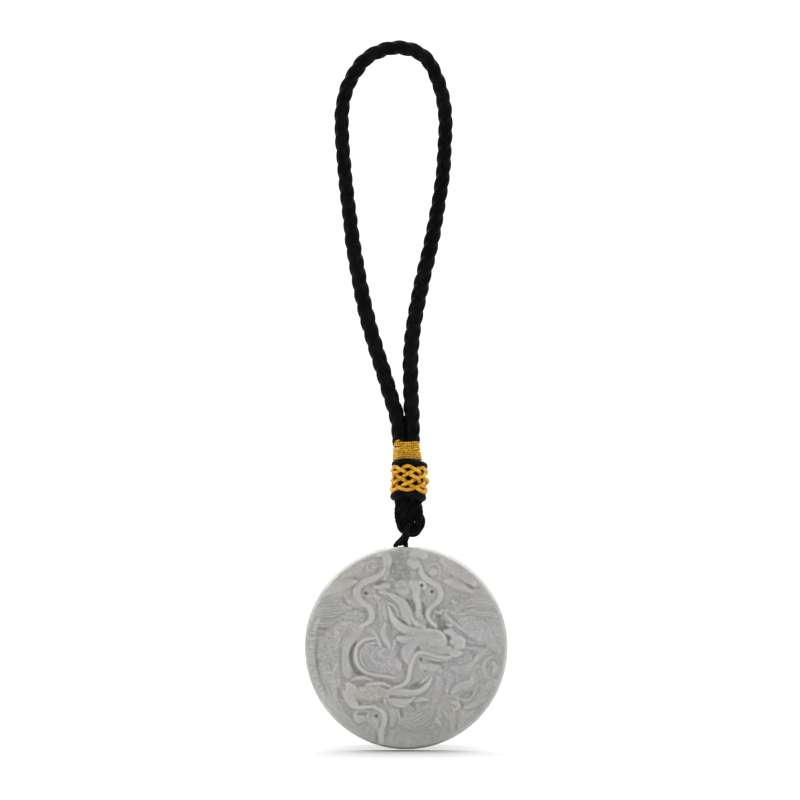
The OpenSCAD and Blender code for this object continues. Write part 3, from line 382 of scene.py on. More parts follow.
def tube(name, path, length, outline, sides, material, closed=False, side=(0, 1, 0)):
    """A tube along evenly spaced points. outline(run, angle) gives its radius; U is mm along, V turns round."""
    n = len(path)
    u, v = carried_frames(path, closed, side)
    rows = n + 1 if closed else n
    run = np.arange(rows) * length / (n if closed else n - 1)
    angle = np.arange(sides) * math.tau / sides
    r = outline(run[:n, None], angle[None, :])
    if not closed:
        end = np.minimum(run, length - run)[:n, None]
        r = r * np.sqrt(np.clip(1 - (1 - np.clip(end / END_ROUND, 0, 1))**2, 0.04, 1))
    verts = (path[:, None] + r[..., None] * (np.cos(angle)[None, :, None] * u[:, None]
                                             + np.sin(angle)[None, :, None] * v[:, None])).reshape(-1, 3)
    i, k = np.meshgrid(np.arange(rows - 1), np.arange(sides), indexing="ij")
    a, b, k1 = i * sides, ((i + 1) % n) * sides, (k + 1) % sides
    faces = np.stack([a + k, b + k, b + k1, a + k1], -1).reshape(-1, 4)
    uv = np.stack([np.stack([run[i], k / sides], -1), np.stack([run[i + 1], k / sides], -1),
                   np.stack([run[i + 1], (k + 1) / sides], -1), np.stack([run[i], (k + 1) / sides], -1)], 2)
    faces, uv = faces.tolist(), uv.reshape(-1, 2).tolist()
    if not closed:
        ends = [list(range(sides)), list(range((n - 1) * sides, n * sides))[::-1]]
        faces += ends
        uv += [(0, 0)] * (2 * sides)
    return new_object(name, verts, faces, material, uv)


def joined(name, parts):
    """Several tubes made into one object."""
    with bpy.context.temp_override(active_object=parts[0], selected_editable_objects=parts):
        bpy.ops.object.join()
    parts[0].name = parts[0].data.name = name
    return parts[0]


def plied(radius, plies, pitch, groove, turn=0.0, yarns=0, flute=0.0):
    """Outline of a rope of round strands laid right-handed, each with fine yarns. groove is the lay's share."""
    b, a = radius * groove, radius * (1 - groove)

    def outline(run, angle):
        lay = math.tau * run / pitch + turn
        d = (angle - lay) % (math.tau / plies) - math.pi / plies
        r = b * np.cos(d) + np.sqrt(np.maximum(a * a - (b * np.sin(d))**2, 0.02 * a * a))
        if yarns:
            # The yarns lie slanted on the strand and fade out towards its grooves.
            wave = np.abs(np.sin(yarns * plies * (angle - 0.25 * lay) / 2))
            r = r + flute * (wave - 0.7) * ease(1.4 - np.abs(d) * plies / math.pi * 1.2)
        return r
    return outline


def braided(radius, beads, columns, depth):
    """Outline of a fine round braid: two families of beads that cross round the cord."""
    def outline(run, angle):
        p, q = math.pi * run / beads, columns * angle / 2
        high = np.maximum(np.abs(np.cos(p + q)), np.abs(np.cos(p - q)))
        return radius * (1 - depth + depth * high**1.5)
    return outline


def knot_point(x, y, z, roll=KNOT_ROLL):
    """A place in the leaning knot's own axes, in the shared frame."""
    roll, lean = math.radians(roll), math.radians(KNOT_LEAN)
    x, z = x * math.cos(roll) + z * math.sin(roll), z * math.cos(roll) - x * math.sin(roll)
    y, z = y * math.cos(lean) + z * math.sin(lean), z * math.cos(lean) - y * math.sin(lean)
    return (x + KNOT_AT[0], y + KNOT_AT[1], z + KNOT_AT[2])


# ---- Carving ----

def ease(x):
    """A soft step from 0 to 1, level at both ends."""
    x = np.clip(x, 0, 1)
    return x * x * (3 - 2 * x)


def drawn_rows(table):
    """Each row's group, finish and level, and the points and half widths of its line, rounded off."""
    group = ""
    for row in table.replace("\n  ", " ").strip().splitlines():
        first, words, path = row.split(":")
        group = first or group
        line = smooth_path([[float(v) for v in point.split()] for point in path.split(",")], LINE_STEP)[0]
        *finish, level = words.split()
        yield group, "".join(finish) or "smooth", float(level), line[:, :2], line[:, 2]


def nearest(line, x, z):
    """Distance to a line, side of it, share of its length and length run, at each place."""
    leg = np.diff(line, axis=0)
    size = np.maximum(np.hypot(leg[:, 0], leg[:, 1]), 1e-6)
    start = np.concatenate([[0], np.cumsum(size)])
    best, run, side = np.full(x.shape, 1e9), np.zeros(x.shape), np.zeros(x.shape)
    for (ax, az), (sx, sz), long, begun in zip(line, leg, size, start):
        u = np.clip(((x - ax) * sx + (z - az) * sz) / long**2, 0, 1)
        dx, dz = x - ax - u * sx, z - az - u * sz
        d = dx * dx + dz * dz
        near = d < best
        best[near], run[near] = d[near], (begun + u * long)[near]
        side[near] = np.sign(sx * dz - sz * dx)[near]
    return np.sqrt(best), side, run / start[-1], run


def blur(h, cells):
    """The height field smoothed over a number of grid cells."""
    reach = int(3 * cells) + 1
    w = np.exp(-0.5 * (np.arange(-reach, reach + 1) / cells)**2)
    w /= w.sum()
    for axis in (0, 1):
        pad = [(reach, reach) if axis == k else (0, 0) for k in (0, 1)]
        wide = np.pad(h, pad, mode="edge")
        n = h.shape[axis]
        h = sum(f * np.take(wide, range(i, i + n), axis=axis) for i, f in enumerate(w))
    return h


def lumps(count, cells, seed):
    """Random rounded lumps a few grid cells wide, of unit spread."""
    field = blur(np.random.default_rng(seed).normal(size=(count, count)), cells)
    return field / field.std()


def width_at(width, share):
    """A line's half width at a share of its length."""
    return np.interp(share, np.linspace(0, 1, len(width)), width)


def finish_height(finish, run, side, d, fine, swell):
    """What the tool marks and the grain of the stone add to a form's crest."""
    if finish == "scutes":
        return 0.3 * np.abs(np.sin(np.pi * (run + 0.2 * swell) / SCUTE_STEP)) - 0.18 + 0.06 * fine
    if finish == "hair":
        across = side * d + 0.22 * swell
        return 0.12 * np.cos(math.tau * across / HAIR_STEP) + 0.05 * fine + 0.05 * swell
    if finish == "scales":
        return 0.2 * np.tanh(fine) + 0.14 * swell
    return 0.03 * fine + 0.06 * swell


def carve():
    """Level of the carved face above the dome on a square grid, and the grid's places."""
    a = np.arange(-DISC_R, DISC_R + GRID / 2, GRID)
    x, z = np.meshgrid(a, a)
    h = GROUND + (GROUND_EDGE - GROUND) * ease((np.hypot(x, z) - GROUND_FROM) / GROUND_OVER)
    fine, swell = lumps(len(a), 2.6, 3), lumps(len(a), 7, 5)
    marks = 0.07 * fine + 0.12 * swell

    def window(drawn, pad):
        """The part of the grid that the lines and a margin round them cover."""
        lo = np.min([(line - width[:, None]).min(0) for line, width in drawn], axis=0) - pad
        hi = np.max([(line + width[:, None]).max(0) for line, width in drawn], axis=0) + pad
        (i0, j0), (i1, j1) = np.searchsorted(a, lo), np.searchsorted(a, hi)
        return slice(j0, j1), slice(i0, i1)

    for _, _, level, line, width in drawn_rows(HOLLOWS):
        box = window([(line, width)], 3)
        d, _, t, _ = nearest(line, x[box], z[box])
        h[box] = np.minimum(h[box], level + WALL * np.maximum(d - width_at(width, t), 0))
    for _, rows in itertools.groupby(drawn_rows(FORMS), key=lambda row: row[0]):
        rows = list(rows)
        box = window([row[3:] for row in rows], 1)
        bx, bz = x[box], z[box]
        bare, total, weight, mark, reach = (np.zeros(bx.shape) + v for v in (1.0, 0.0, 1e-9, 0.0, 9.0))
        for _, finish, crest, line, width in rows:
            d, side, t, run = nearest(line, bx, bz)
            w = width_at(width, t)
            cover = 1 - ease((d - w) / (SLOPE_SMOOTH if finish == "smooth" else SLOPE) + 0.45)
            fall = ROUND * np.minimum(w, 1.5) * np.minimum(d / w, 1.2)**2
            top = crest - fall - 0.3 * np.maximum(0.6 - w, 0)  # thin ends run out lower
            tooled = finish_height(finish, run, side, d, fine[box], swell[box])
            share = cover**4
            total, weight, mark = total + share * top, weight + share, mark + share * tooled
            bare = bare * (1 - cover)
            reach = np.minimum(reach, np.abs(d - w))
        under, cover, top = h[box], 1 - bare, total / weight
        inside = ease(weight / 1e-3)
        crease = CUT * np.exp(-(reach / CUT_WIDTH)**2) * ease(1.3 - np.abs(top - under) / 0.4) * inside
        h[box] = under + (np.where(weight > 1e-6, top, under) - under) * cover - crease
        marks[box] = marks[box] * bare + mark / weight * cover * inside
    for px, pz, pr in PITS:
        d = np.hypot(x - px, z - pz)
        h = np.where(d < 1.5 * pr, np.minimum(h, PIT_LEVEL * (1 - ease((d - pr * 0.3) / (pr * 1.2)))), h)
    return a, blur(h, SOFT) + blur(marks, SOFT_MARKS)


def sample(a, h, x, z):
    """The grid's value at scattered places."""
    fx, fz = (x - a[0]) / GRID, (z - a[0]) / GRID
    i, j = np.clip(fx.astype(int), 0, len(a) - 2), np.clip(fz.astype(int), 0, len(a) - 2)
    u, v = np.clip(fx - i, 0, 1), np.clip(fz - j, 0, 1)
    return ((h[j, i] * (1 - u) + h[j, i + 1] * u) * (1 - v)
            + (h[j + 1, i] * (1 - u) + h[j + 1, i + 1] * u) * v)


# ---- Materials ----

def add(tree, kind, ins=None, **props):
    """Adds a node. ins maps socket names or numbers to values or to other nodes' outputs."""
    node = tree.nodes.new("ShaderNode" + kind)
    for key, value in props.items():
        setattr(node, key, value)
    plug(tree, node, ins or {})
    return node


def plug(tree, node, ins):
    """Links or sets a node's inputs."""
    for key, value in ins.items():
        if isinstance(value, bpy.types.NodeSocket):
            tree.links.new(value, node.inputs[key])
        else:
            node.inputs[key].default_value = value


def maths(tree, operation, a, b=0.0, c=0.0):
    """One step of arithmetic on numbers or other nodes' outputs."""
    return add(tree, "Math", {0: a, 1: b, 2: c}, operation=operation).outputs[0]


def rescale(tree, value, low, high, to_low=0.0, to_high=1.0, smooth=False):
    """A value carried from one range to another, and kept inside it."""
    kind = "SMOOTHSTEP" if smooth else "LINEAR"
    node = add(tree, "MapRange", {0: value, 1: low, 2: high, 3: to_low, 4: to_high}, interpolation_type=kind)
    return node.outputs[0]


def ramp(tree, value, stops):
    """A colour ramp over a value. stops are (place, colour) pairs."""
    node = add(tree, "ValToRGB", {0: value})
    while len(node.color_ramp.elements) < len(stops):
        node.color_ramp.elements.new(0.5)
    for element, (place, colour) in zip(node.color_ramp.elements, stops):
        element.position, element.color = place, (*colour[:3], 1)
    return node.outputs["Color"]


def blend(tree, share, a, b, kind="MIX"):
    """Mixes two colours."""
    pair = {k: v if isinstance(v, bpy.types.NodeSocket) else (*v[:3], 1) for k, v in ((6, a), (7, b))}
    return add(tree, "Mix", {0: share, **pair}, data_type="RGBA", blend_type=kind).outputs[2]


def noise(tree, scale, detail=3.0, rough=0.6, warp=0.0):
    """Cloudy noise over the object's own place, scale in turns per metre."""
    place = add(tree, "NewGeometry").outputs["Position"]
    return add(tree, "TexNoise", {"Vector": place, "Scale": scale, "Detail": detail, "Roughness": rough,
                                  "Distortion": warp}).outputs[0]


def effect(name, ins, outs, build):
    """A shared effect: a node group with named sockets, made once. build(tree, inputs) gives its outputs."""
    tree = bpy.data.node_groups.get(name)
    if tree is None:
        tree = bpy.data.node_groups.new(name, "ShaderNodeTree")
        for label, value in ins:
            tree.interface.new_socket(label, in_out="INPUT", socket_type="NodeSocketFloat").default_value = value
        for label in outs:
            tree.interface.new_socket(label, in_out="OUTPUT", socket_type="NodeSocketFloat")
        inputs, outputs = tree.nodes.new("NodeGroupInput").outputs, tree.nodes.new("NodeGroupOutput")
        plug(tree, outputs, dict(zip(outs, build(tree, inputs))))
    return tree


def use(tree, group, ins):
    """Places a shared effect in a material with the material's own values."""
    node = tree.nodes.new("ShaderNodeGroup")
    node.node_tree = group
    plug(tree, node, ins)
    return node.outputs


def filaments():
    """Fine threads that run along a cord: their height, and how much light each one catches."""
    def build(tree, ins):
        split = add(tree, "SeparateXYZ", {0: add(tree, "UVMap", uv_map="Thread").outputs[0]}).outputs
        phase = maths(tree, "MULTIPLY_ADD", split[0], ins["Slope"], split[1])
        phase = maths(tree, "MULTIPLY", phase, ins["Filaments"])
        phase = maths(tree, "MULTIPLY_ADD", noise(tree, 900.0), ins["Fuzz"], phase)
        wave = maths(tree, "ABSOLUTE", maths(tree, "SINE", maths(tree, "MULTIPLY", phase, math.pi)))
        cell = add(tree, "TexWhiteNoise", {"W": maths(tree, "FLOOR", phase)}, noise_dimensions="1D").outputs[0]
        return wave, maths(tree, "MULTIPLY_ADD", cell, 0.5, maths(tree, "MULTIPLY", wave, 0.5))
    return effect("Filaments", [("Filaments", 40.0), ("Slope", 0.0), ("Fuzz", 0.3)], ["Height", "Light"], build)


def wear():
    """Soft patches where handling has lifted the fibres or dulled the polish."""
    def build(tree, ins):
        place = add(tree, "NewGeometry").outputs["Position"]
        patch = add(tree, "TexNoise", {"Vector": place, "Scale": ins["Scale"], "Detail": 4.0, "Roughness": 0.6})
        return (rescale(tree, patch.outputs[0], 0.35, 0.68, smooth=True),)
    return effect("Wear patches", [("Scale", 250.0)], ["Patch"], build)


def material_of(name):
    """A new material, its node tree and its Principled shader."""
    material = bpy.data.materials.new(name)
    material.use_nodes = True
    return material, material.node_tree, material.node_tree.nodes["Principled BSDF"]


def cord_material(name, threads, slope=0.0, gloss=(0.42, 0.62), strength=0.35):
    """Black satin cord with fine filaments and slightly lifted fibres on its crests, with painted sheen on the
    filaments and painted shade between them.
    """
    looks = bpy.context.scene.pendant_cords
    material, tree, shader = material_of(name)
    lines = use(tree, filaments(), {"Filaments": threads, "Slope": slope, "Fuzz": 0.5})
    # Wide patches where the cord has been handled, and small ones where single fibres are lifted.
    patch = use(tree, wear(), {"Scale": 260.0})["Patch"]
    fibre = use(tree, wear(), {"Scale": 1400.0})["Patch"]
    share = maths(tree, "MULTIPLY", lines["Light"], rescale(tree, patch, 0, 1, 0.3, 1))
    share = maths(tree, "MULTIPLY", share, rescale(tree, fibre, 0, 1, 0.5, 1.3))
    # The ramp paints sheen on the filaments' crests and shade between them; handled patches and lifted fibres also
    # change it.
    colour = ramp(tree, share, [(0.1, looks.cord_black_shade), (0.85, looks.cord_black_sheen)])
    bump = add(tree, "Bump", {"Height": lines["Height"], "Strength": strength, "Distance": 0.05 * MM})
    bump = add(tree, "Bump", {"Height": fibre, "Strength": strength, "Distance": 0.12 * MM,
                              "Normal": bump.outputs[0]})
    plug(tree, shader, {"Base Color": colour, "Normal": bump.outputs[0],
                        "Roughness": rescale(tree, patch, 0, 1, gloss[0], gloss[1]),
                        "Specular IOR Level": looks.cord_gloss, "Sheen Weight": 0.02,
                        "Sheen Roughness": 0.4, "Sheen Tint": (0.5, 0.52, 0.58, 1)})
    return material


def gold_material(name, threads, slope, pale=1.0, bright=0.0):
    """Metallic gold thread: gold foil with painted highlights on its filaments and painted shade, brown, between
    them.
    """
    looks = bpy.context.scene.pendant_gold
    material, tree, shader = material_of(name)
    lines = use(tree, filaments(), {"Filaments": threads, "Slope": slope, "Fuzz": 0.35})
    # Small patches where the foil is worn, and wide ones where it is a little redder.
    patch = use(tree, wear(), {"Scale": 900.0})["Patch"]
    wide = use(tree, wear(), {"Scale": 190.0})["Patch"]
    share = maths(tree, "MULTIPLY_ADD", lines["Light"], 0.5 + bright, maths(tree, "MULTIPLY", patch, 0.35))
    # The ramp paints highlights on the filaments' crests and shade between them; worn patches also lift it.
    base = ramp(tree, share, [(0.1, looks.gold_painted_shade), (0.45, looks.gold), (0.85, looks.gold_painted_highlight)])
    tint = ramp(tree, wide, [(0.0, (1.0, 0.84 * pale, 0.7 * pale)), (1.0, (1.0, 1.0, 1.0))])
    bump = add(tree, "Bump", {"Height": lines["Height"], "Strength": 0.4, "Distance": 0.03 * MM})
    plug(tree, shader, {"Base Color": blend(tree, 0.7, base, tint, "MULTIPLY"), "Normal": bump.outputs[0],
                        "Roughness": rescale(tree, patch, 0, 1, 0.3, 0.52), "Metallic": 0.3,
                        "Specular IOR Level": 0.25})
    return material


def core_material(name):
    """The stuffing of the knot: dark crossing cords that show between the gold strands."""
    looks = bpy.context.scene.pendant_cords
    material, tree, shader = material_of(name)
    place = add(tree, "NewGeometry").outputs["Position"]
    wave = add(tree, "TexWave", {"Vector": place, "Scale": 260.0, "Distortion": 2.0, "Detail": 2.0},
               wave_type="BANDS", bands_direction="DIAGONAL").outputs[1]
    patch = use(tree, wear(), {"Scale": 500.0})["Patch"]
    share = maths(tree, "MULTIPLY", wave, rescale(tree, patch, 0, 1, 0.4, 1))
    bump = add(tree, "Bump", {"Height": wave, "Strength": 0.6, "Distance": 0.15 * MM})
    # The bands are the crossing cords, with painted sheen on them and painted shade between them.
    plug(tree, shader, {"Base Color": ramp(tree, share, [(0.2, looks.cord_black_shade), (0.9, looks.cord_black_sheen)]),
                        "Normal": bump.outputs[0], "Roughness": rescale(tree, patch, 0, 1, 0.6, 0.8),
                        "Specular IOR Level": looks.cord_gloss})
    return material


# Coloured zones of the stone, one of them painted shade, from its middle. Columns: x, z, half width, half height,
# colour, strength.
ZONES = [
    (-5.2, -2.6, 5.6, 4.6, (0.388, 0.372, 0.402), 0.65),
    (17.6, 3.4, 4.6, 5.4, (0.382, 0.374, 0.413), 0.35),
    (13.2, -7.6, 4.2, 4.2, (0.335, 0.351, 0.39), 0.6),
    # Painted shade: the dark band below the hole where the cord inside the stone shows through.
    (-1.8, 21.2, 2.6, 6.0, (0.234, 0.25, 0.246), 0.75),
    (-20.0, -1.8, 3.8, 4.2, (0.335, 0.367, 0.335), 0.5),
    (23.4, -6.6, 2.8, 5.2, (0.335, 0.367, 0.335), 0.5),
    (-10.5, -12.2, 6.4, 3.4, (0.413, 0.382, 0.328), 0.6),
    (-22.5, 4.8, 1.4, 1.8, (0.343, 0.296, 0.257), 0.6),
    (-13.8, 2.8, 1.4, 1.4, (0.413, 0.351, 0.335), 0.6),
    (13.6, -16.1, 1.4, 1.2, (0.413, 0.374, 0.273), 0.6),
    (10.9, -13.8, 1.5, 1.3, (0.413, 0.359, 0.351), 0.5),
    (-19.0, 16.4, 3.4, 3.4, (0.413, 0.406, 0.359), 0.6),
    (19.0, 16.2, 2.8, 1.8, (0.39, 0.351, 0.335), 0.5),
    (5.5, -21.4, 8.6, 4.2, (0.32, 0.32, 0.296), 0.5),
    (-14.5, 17.5, 8.0, 6.5, (0.388, 0.372, 0.336), 0.45),
    (14.5, 17.5, 8.0, 6.5, (0.384, 0.370, 0.338), 0.4),
    (15.5, -15.0, 8.0, 7.0, (0.378, 0.368, 0.336), 0.35),
    (6.0, 3.0, 9.0, 6.0, (0.362, 0.360, 0.368), 0.4),
]


def stone_material(name):
    """Polished jadeite: cloudy grey green stone with faint coloured zones, painted highlights on crests and thin
    edges and painted shade in hollows and creases.
    """
    looks = bpy.context.scene.pendant_stone
    material, tree, shader = material_of(name)
    place = add(tree, "NewGeometry").outputs["Position"]
    at = add(tree, "SeparateXYZ", {0: place}).outputs
    cloud, ragged = noise(tree, 95.0, 6.0, 0.62, 0.6), noise(tree, 170.0, 4.0)
    grain, fine = noise(tree, 900.0, 4.0, 0.7), noise(tree, 2600.0)
    fleck = add(tree, "TexVoronoi", {"Vector": place, "Scale": 1500.0}, feature="F1").outputs[0]
    colour = ramp(tree, cloud, [(0.28, looks.tone_dark), (0.5, looks.tone), (0.72, looks.tone_pale)])
    front = rescale(tree, at[1], MM, -MM)  # the zones show on the front only
    for x, z, rx, rz, shade, strength in ZONES:
        dx = maths(tree, "DIVIDE", maths(tree, "SUBTRACT", at[0], x * MM), rx * MM)
        dz = maths(tree, "DIVIDE", maths(tree, "SUBTRACT", at[2], (z + DISC_Z) * MM), rz * MM)
        d = maths(tree, "SQRT", maths(tree, "MULTIPLY_ADD", dx, dx, maths(tree, "MULTIPLY", dz, dz)))
        d = maths(tree, "MULTIPLY_ADD", ragged, 1.1, d)
        mask = maths(tree, "MULTIPLY", rescale(tree, d, 2.1, 0.7, 0.0, strength, smooth=True), front)
        colour = blend(tree, mask, colour, shade)
    white = maths(tree, "MULTIPLY", rescale(tree, fleck, 0.5, 0.1), rescale(tree, grain, 0.42, 0.62, 0, 0.5))
    colour = blend(tree, white, colour, looks.tone_fleck)
    # Painted light from the relief: hollows and creases are darkened as painted shade, crests and thin edges made
    # paler as painted highlights.
    relief = add(tree, "SeparateColor", {0: add(tree, "Attribute", attribute_name="Relief").outputs["Color"]})
    high, edge = relief.outputs[0], relief.outputs[1]
    for value, start, full, strength, tone in (
            (high, 0.36, 0.0, looks.painted_hollow_shade, looks.painted_shade_tone),
            (high, 0.52, 0.9, looks.painted_crest_highlight, looks.painted_highlight_tone),
            (edge, 0.52, 0.8, looks.painted_edge_highlight, looks.painted_highlight_tone),
            (edge, 0.48, 0.2, looks.painted_crease_shade, looks.painted_shade_tone)):
        colour = blend(tree, rescale(tree, value, start, full, 0.0, strength), colour, tone)
    bump = add(tree, "Bump", {"Height": fine, "Strength": 0.25, "Distance": 0.05 * MM})
    plug(tree, shader, {"Base Color": colour, "Normal": bump.outputs[0],
                        "Roughness": rescale(tree, high, 0.2, 0.7, 0.55, 0.32),
                        "Subsurface Weight": looks.glow, "Subsurface Radius": (1.0, 1.0, 0.95),
                        "Subsurface Scale": 2.5 * MM, "IOR": 1.66, "Specular IOR Level": 0.3})
    return material


def floor_material():
    """Matt pale paper that glows a little at the far end, with a painted shadow, a soft grey patch, under the stone.
    """
    looks = bpy.context.scene.pendant_stage
    material, tree, shader = material_of("Pale floor")
    grain = noise(tree, 3.0)
    glow_from, glow_full, glow_middle = 0.2, 0.85, 0.15  # metres in front of and behind a line in front of the stone
    at = add(tree, "SeparateXYZ", {0: add(tree, "NewGeometry").outputs["Position"]}).outputs
    away = maths(tree, "ABSOLUTE", maths(tree, "ADD", at[1], glow_middle))
    # Painted shadow: the paper darkens in a soft patch under the stone, most in its middle.
    wide = maths(tree, "DIVIDE", at[0], looks.patch)
    deep = maths(tree, "DIVIDE", maths(tree, "SUBTRACT", at[1], looks.painted_shadow_back), looks.patch)
    patch = maths(tree, "SQRT", maths(tree, "MULTIPLY_ADD", wide, wide, maths(tree, "MULTIPLY", deep, deep)))
    patch = rescale(tree, patch, 1.0, 0.0, 0.0, looks.painted_shadow_dark, smooth=True)
    glow = rescale(tree, away, glow_from, glow_full, smooth=True)
    glow = ramp(tree, glow, [(0, (0.0,) * 3), (1, (1.0,) * 3)])
    pale = ramp(tree, grain, [(0.3, (0.80,) * 3), (0.7, (0.82,) * 3)])
    # The painted shadow blends the paper towards dark grey.
    plug(tree, shader, {"Base Color": blend(tree, patch, pale, (0.1, 0.1, 0.1)),
                        "Roughness": 0.9, "Specular IOR Level": 0.0,
                        "Emission Color": glow, "Emission Strength": looks.sheet_glow})
    return material


# ---- Pieces ----

def seated(obj, body, slot, *nodes):
    """Puts a piece on its body and in place of the solids that it stands for."""
    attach(obj, body)
    if nodes:
        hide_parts(*nodes)
    return obj


def shared(make, name, *values):
    """A material made once and used by several pieces."""
    return bpy.data.materials.get(name) or make(name, *values)


def ring_points(r, n):
    """Places evenly spaced round a circle, from the top on."""
    a = np.arange(n) * math.tau / n
    return np.column_stack([r * np.sin(a), r * np.cos(a)])


def stone_mesh(depth, rings):
    """Vertices in the disc's own millimetres, faces, and how high and how sharp the carving is at each vertex."""
    edge_r, n = DISC_R - RIM_W, 6 * rings
    a, h = carve()
    # Level is 0 in wide hollows and 1 on high forms. Edge is 0 in creases and 1 on thin edges. Both steer the stone's
    # painted shade and highlights.
    level = np.clip(0.5 + (h - blur(h, 12)) * 0.3 + (h + 0.9) * 0.08, 0, 1)
    edge = np.clip(0.5 + (h - blur(h, 3.5)) * 1.6, 0, 1)
    face = np.vstack([[[0, 0]]] + [ring_points(edge_r * k / rings, 6 * k) for k in range(1, rings + 1)])
    dome = DOME_CENTRE + (DOME_EDGE - DOME_CENTRE) * (np.hypot(*face.T) / edge_r)**2
    y = -dome - CREST * (1 - depth) - depth * sample(a, h, face[:, 0], face[:, 1])
    verts = [np.column_stack([face[:, 0], y, face[:, 1]])]
    tone = [np.column_stack([sample(a, field, face[:, 0], face[:, 1]) for field in (level, edge)])]
    starts = [1 + 3 * k * (k - 1) for k in range(1, rings + 1)]
    faces = [(0, 1 + (i + 1) % 6, 1 + i) for i in range(6)]
    for k in range(1, rings):
        p, q, m = starts[k - 1], starts[k], 6 * k
        i = np.arange(m + 6)
        s = i // (k + 1)
        faces += np.column_stack([p + (i - s) % m, q + (i + 1) % (m + 6), q + i]).tolist()
        i = np.arange(m)
        faces += np.column_stack([p + i, p + (i + 1) % m, q + (i + i // k + 1) % (m + 6)]).tolist()
    last, count = starts[-1], len(face)

    def ring(r, y):
        """Adds a ring of vertices and joins it to the last one."""
        nonlocal last, count
        c = ring_points(r, n)
        verts.append(np.column_stack([c[:, 0], np.broadcast_to(y, n), c[:, 1]]))
        tone.append(np.full((n, 2), 0.5))
        i = np.arange(n)
        j = (i + 1) % n
        faces.extend(np.column_stack([last + i, last + j, count + j, count + i]).tolist())
        last, count = count, count + n

    rim_y = y[-n:]
    for angle in np.radians((11, 22, 33, 45, 56, 68, 79, 90)):  # out to the rim
        ring(edge_r + RIM_W * math.sin(angle), rim_y * math.cos(angle))
    for angle in np.radians((72, 54, 36, 18, 0)):  # and round it to the back
        ring(edge_r + RIM_W * math.sin(angle), BACK_EDGE * math.cos(angle))
    for r in (20, 14, 8, 3):  # in to the middle of the plain back
        ring(r, BACK_CENTRE + (BACK_EDGE - BACK_CENTRE) * (r / edge_r)**2)
    faces.append(list(range(last, last + n)))
    verts = np.vstack(verts)
    verts[:, 2] = np.minimum(verts[:, 2], FLAT_TOP)
    return verts, faces, np.vstack(tone)


def cord_channel():
    """Cutters for the hole and for the slots that let the link cord stand while the stone swings."""
    hx, hz = HOLE_AT
    sides = 40
    turn = np.arange(sides) * math.tau / sides
    ends = (hx - MOUTH_GAP / 2 - HOLE_R, hx + MOUTH_GAP / 2 + HOLE_R)
    solids = [(ends, HOLE_R * np.cos(turn), HOLE_R * np.sin(turn))]
    low = HOLE_R * np.array([math.cos(SWING), -math.sin(SWING)])
    high = low + SLOT_LONG * np.array([math.sin(SWING), math.cos(SWING)])
    for x in (hx - MOUTH_GAP / 2, hx + MOUTH_GAP / 2):
        solids.append(((x - HOLE_R, x + HOLE_R), np.array([low[0], high[0], -high[0], -low[0]]),
                       np.array([low[1], high[1], high[1], low[1]])))
    for (x0, x1), y, z in solids:
        n = len(y)
        verts = np.vstack([np.column_stack([np.full(n, x), y, z + hz + DISC_Z]) for x in (x0, x1)])
        faces = [list(range(n))[::-1], list(range(n, 2 * n))]
        faces += [(i, (i + 1) % n, n + (i + 1) % n, n + i) for i in range(n)]
        yield verts, faces


# ---- Settings ----

def size_of(name, about, value):
    """A length in metres."""
    return bpy.props.FloatProperty(name=name, description=about, default=value, min=0.0, unit="LENGTH", precision=5)


def share_of(name, about, value, high=1.0):
    """A share or strength."""
    return bpy.props.FloatProperty(name=name, description=about, default=value, min=0.0, max=high, subtype="FACTOR")


def colour_of(name, about, value):
    """A colour."""
    return bpy.props.FloatVectorProperty(name=name, description=about, default=value, size=3, min=0.0, max=1.0,
                                         subtype="COLOR")


def power_of(name, about, value):
    """A light's power in watts."""
    return bpy.props.FloatProperty(name=name, description=about, default=value, min=0.0, unit="POWER")


class PendantCords(bpy.types.PropertyGroup):
    """Sizes and colours of the black cords"""
    rope_width: size_of("Rope", "Diameter of the twisted rope", 0.0036)
    rope_lay: size_of("Lay", "Length of one turn of a strand round the rope", 0.0114)
    link_width: size_of("Link cord", "Diameter of the thin cord through the stone", 0.0014)
    tail_width: size_of("Tail", "Diameter of the thin cord laid along the rope's end", 0.001)
    # Black of the cords, darkened as painted shade between the filaments and lifted as painted sheen on them.
    cord_black_shade: colour_of("Dark", "Colour between the filaments", (0.001, 0.001, 0.0011))
    cord_black_sheen: colour_of("Light", "Colour of the filaments that catch light", (0.0105, 0.0105, 0.0111))
    cord_gloss: share_of("Gloss", "Specular level of the black cords", 0.03)


class PendantGold(bpy.types.PropertyGroup):
    """Sizes and colours of the gold thread"""
    wrap_width: size_of("Wrap thread", "Diameter of the wound gold thread", 0.0006)
    lattice_width: size_of("Lattice cord", "Diameter of the gold lattice cord", 0.00104)
    gold: colour_of("Gold", "Middle tone of the gold thread", (0.63, 0.325, 0.013))
    # The shade tone is painted shade between the filaments, the shine tone painted highlights on the brightest.
    gold_painted_shade: colour_of("Shade", "Tone between the gold filaments", (0.29, 0.105, 0.003))
    gold_painted_highlight: colour_of("Shine", "Tone of the brightest filaments", (0.86, 0.60, 0.075))


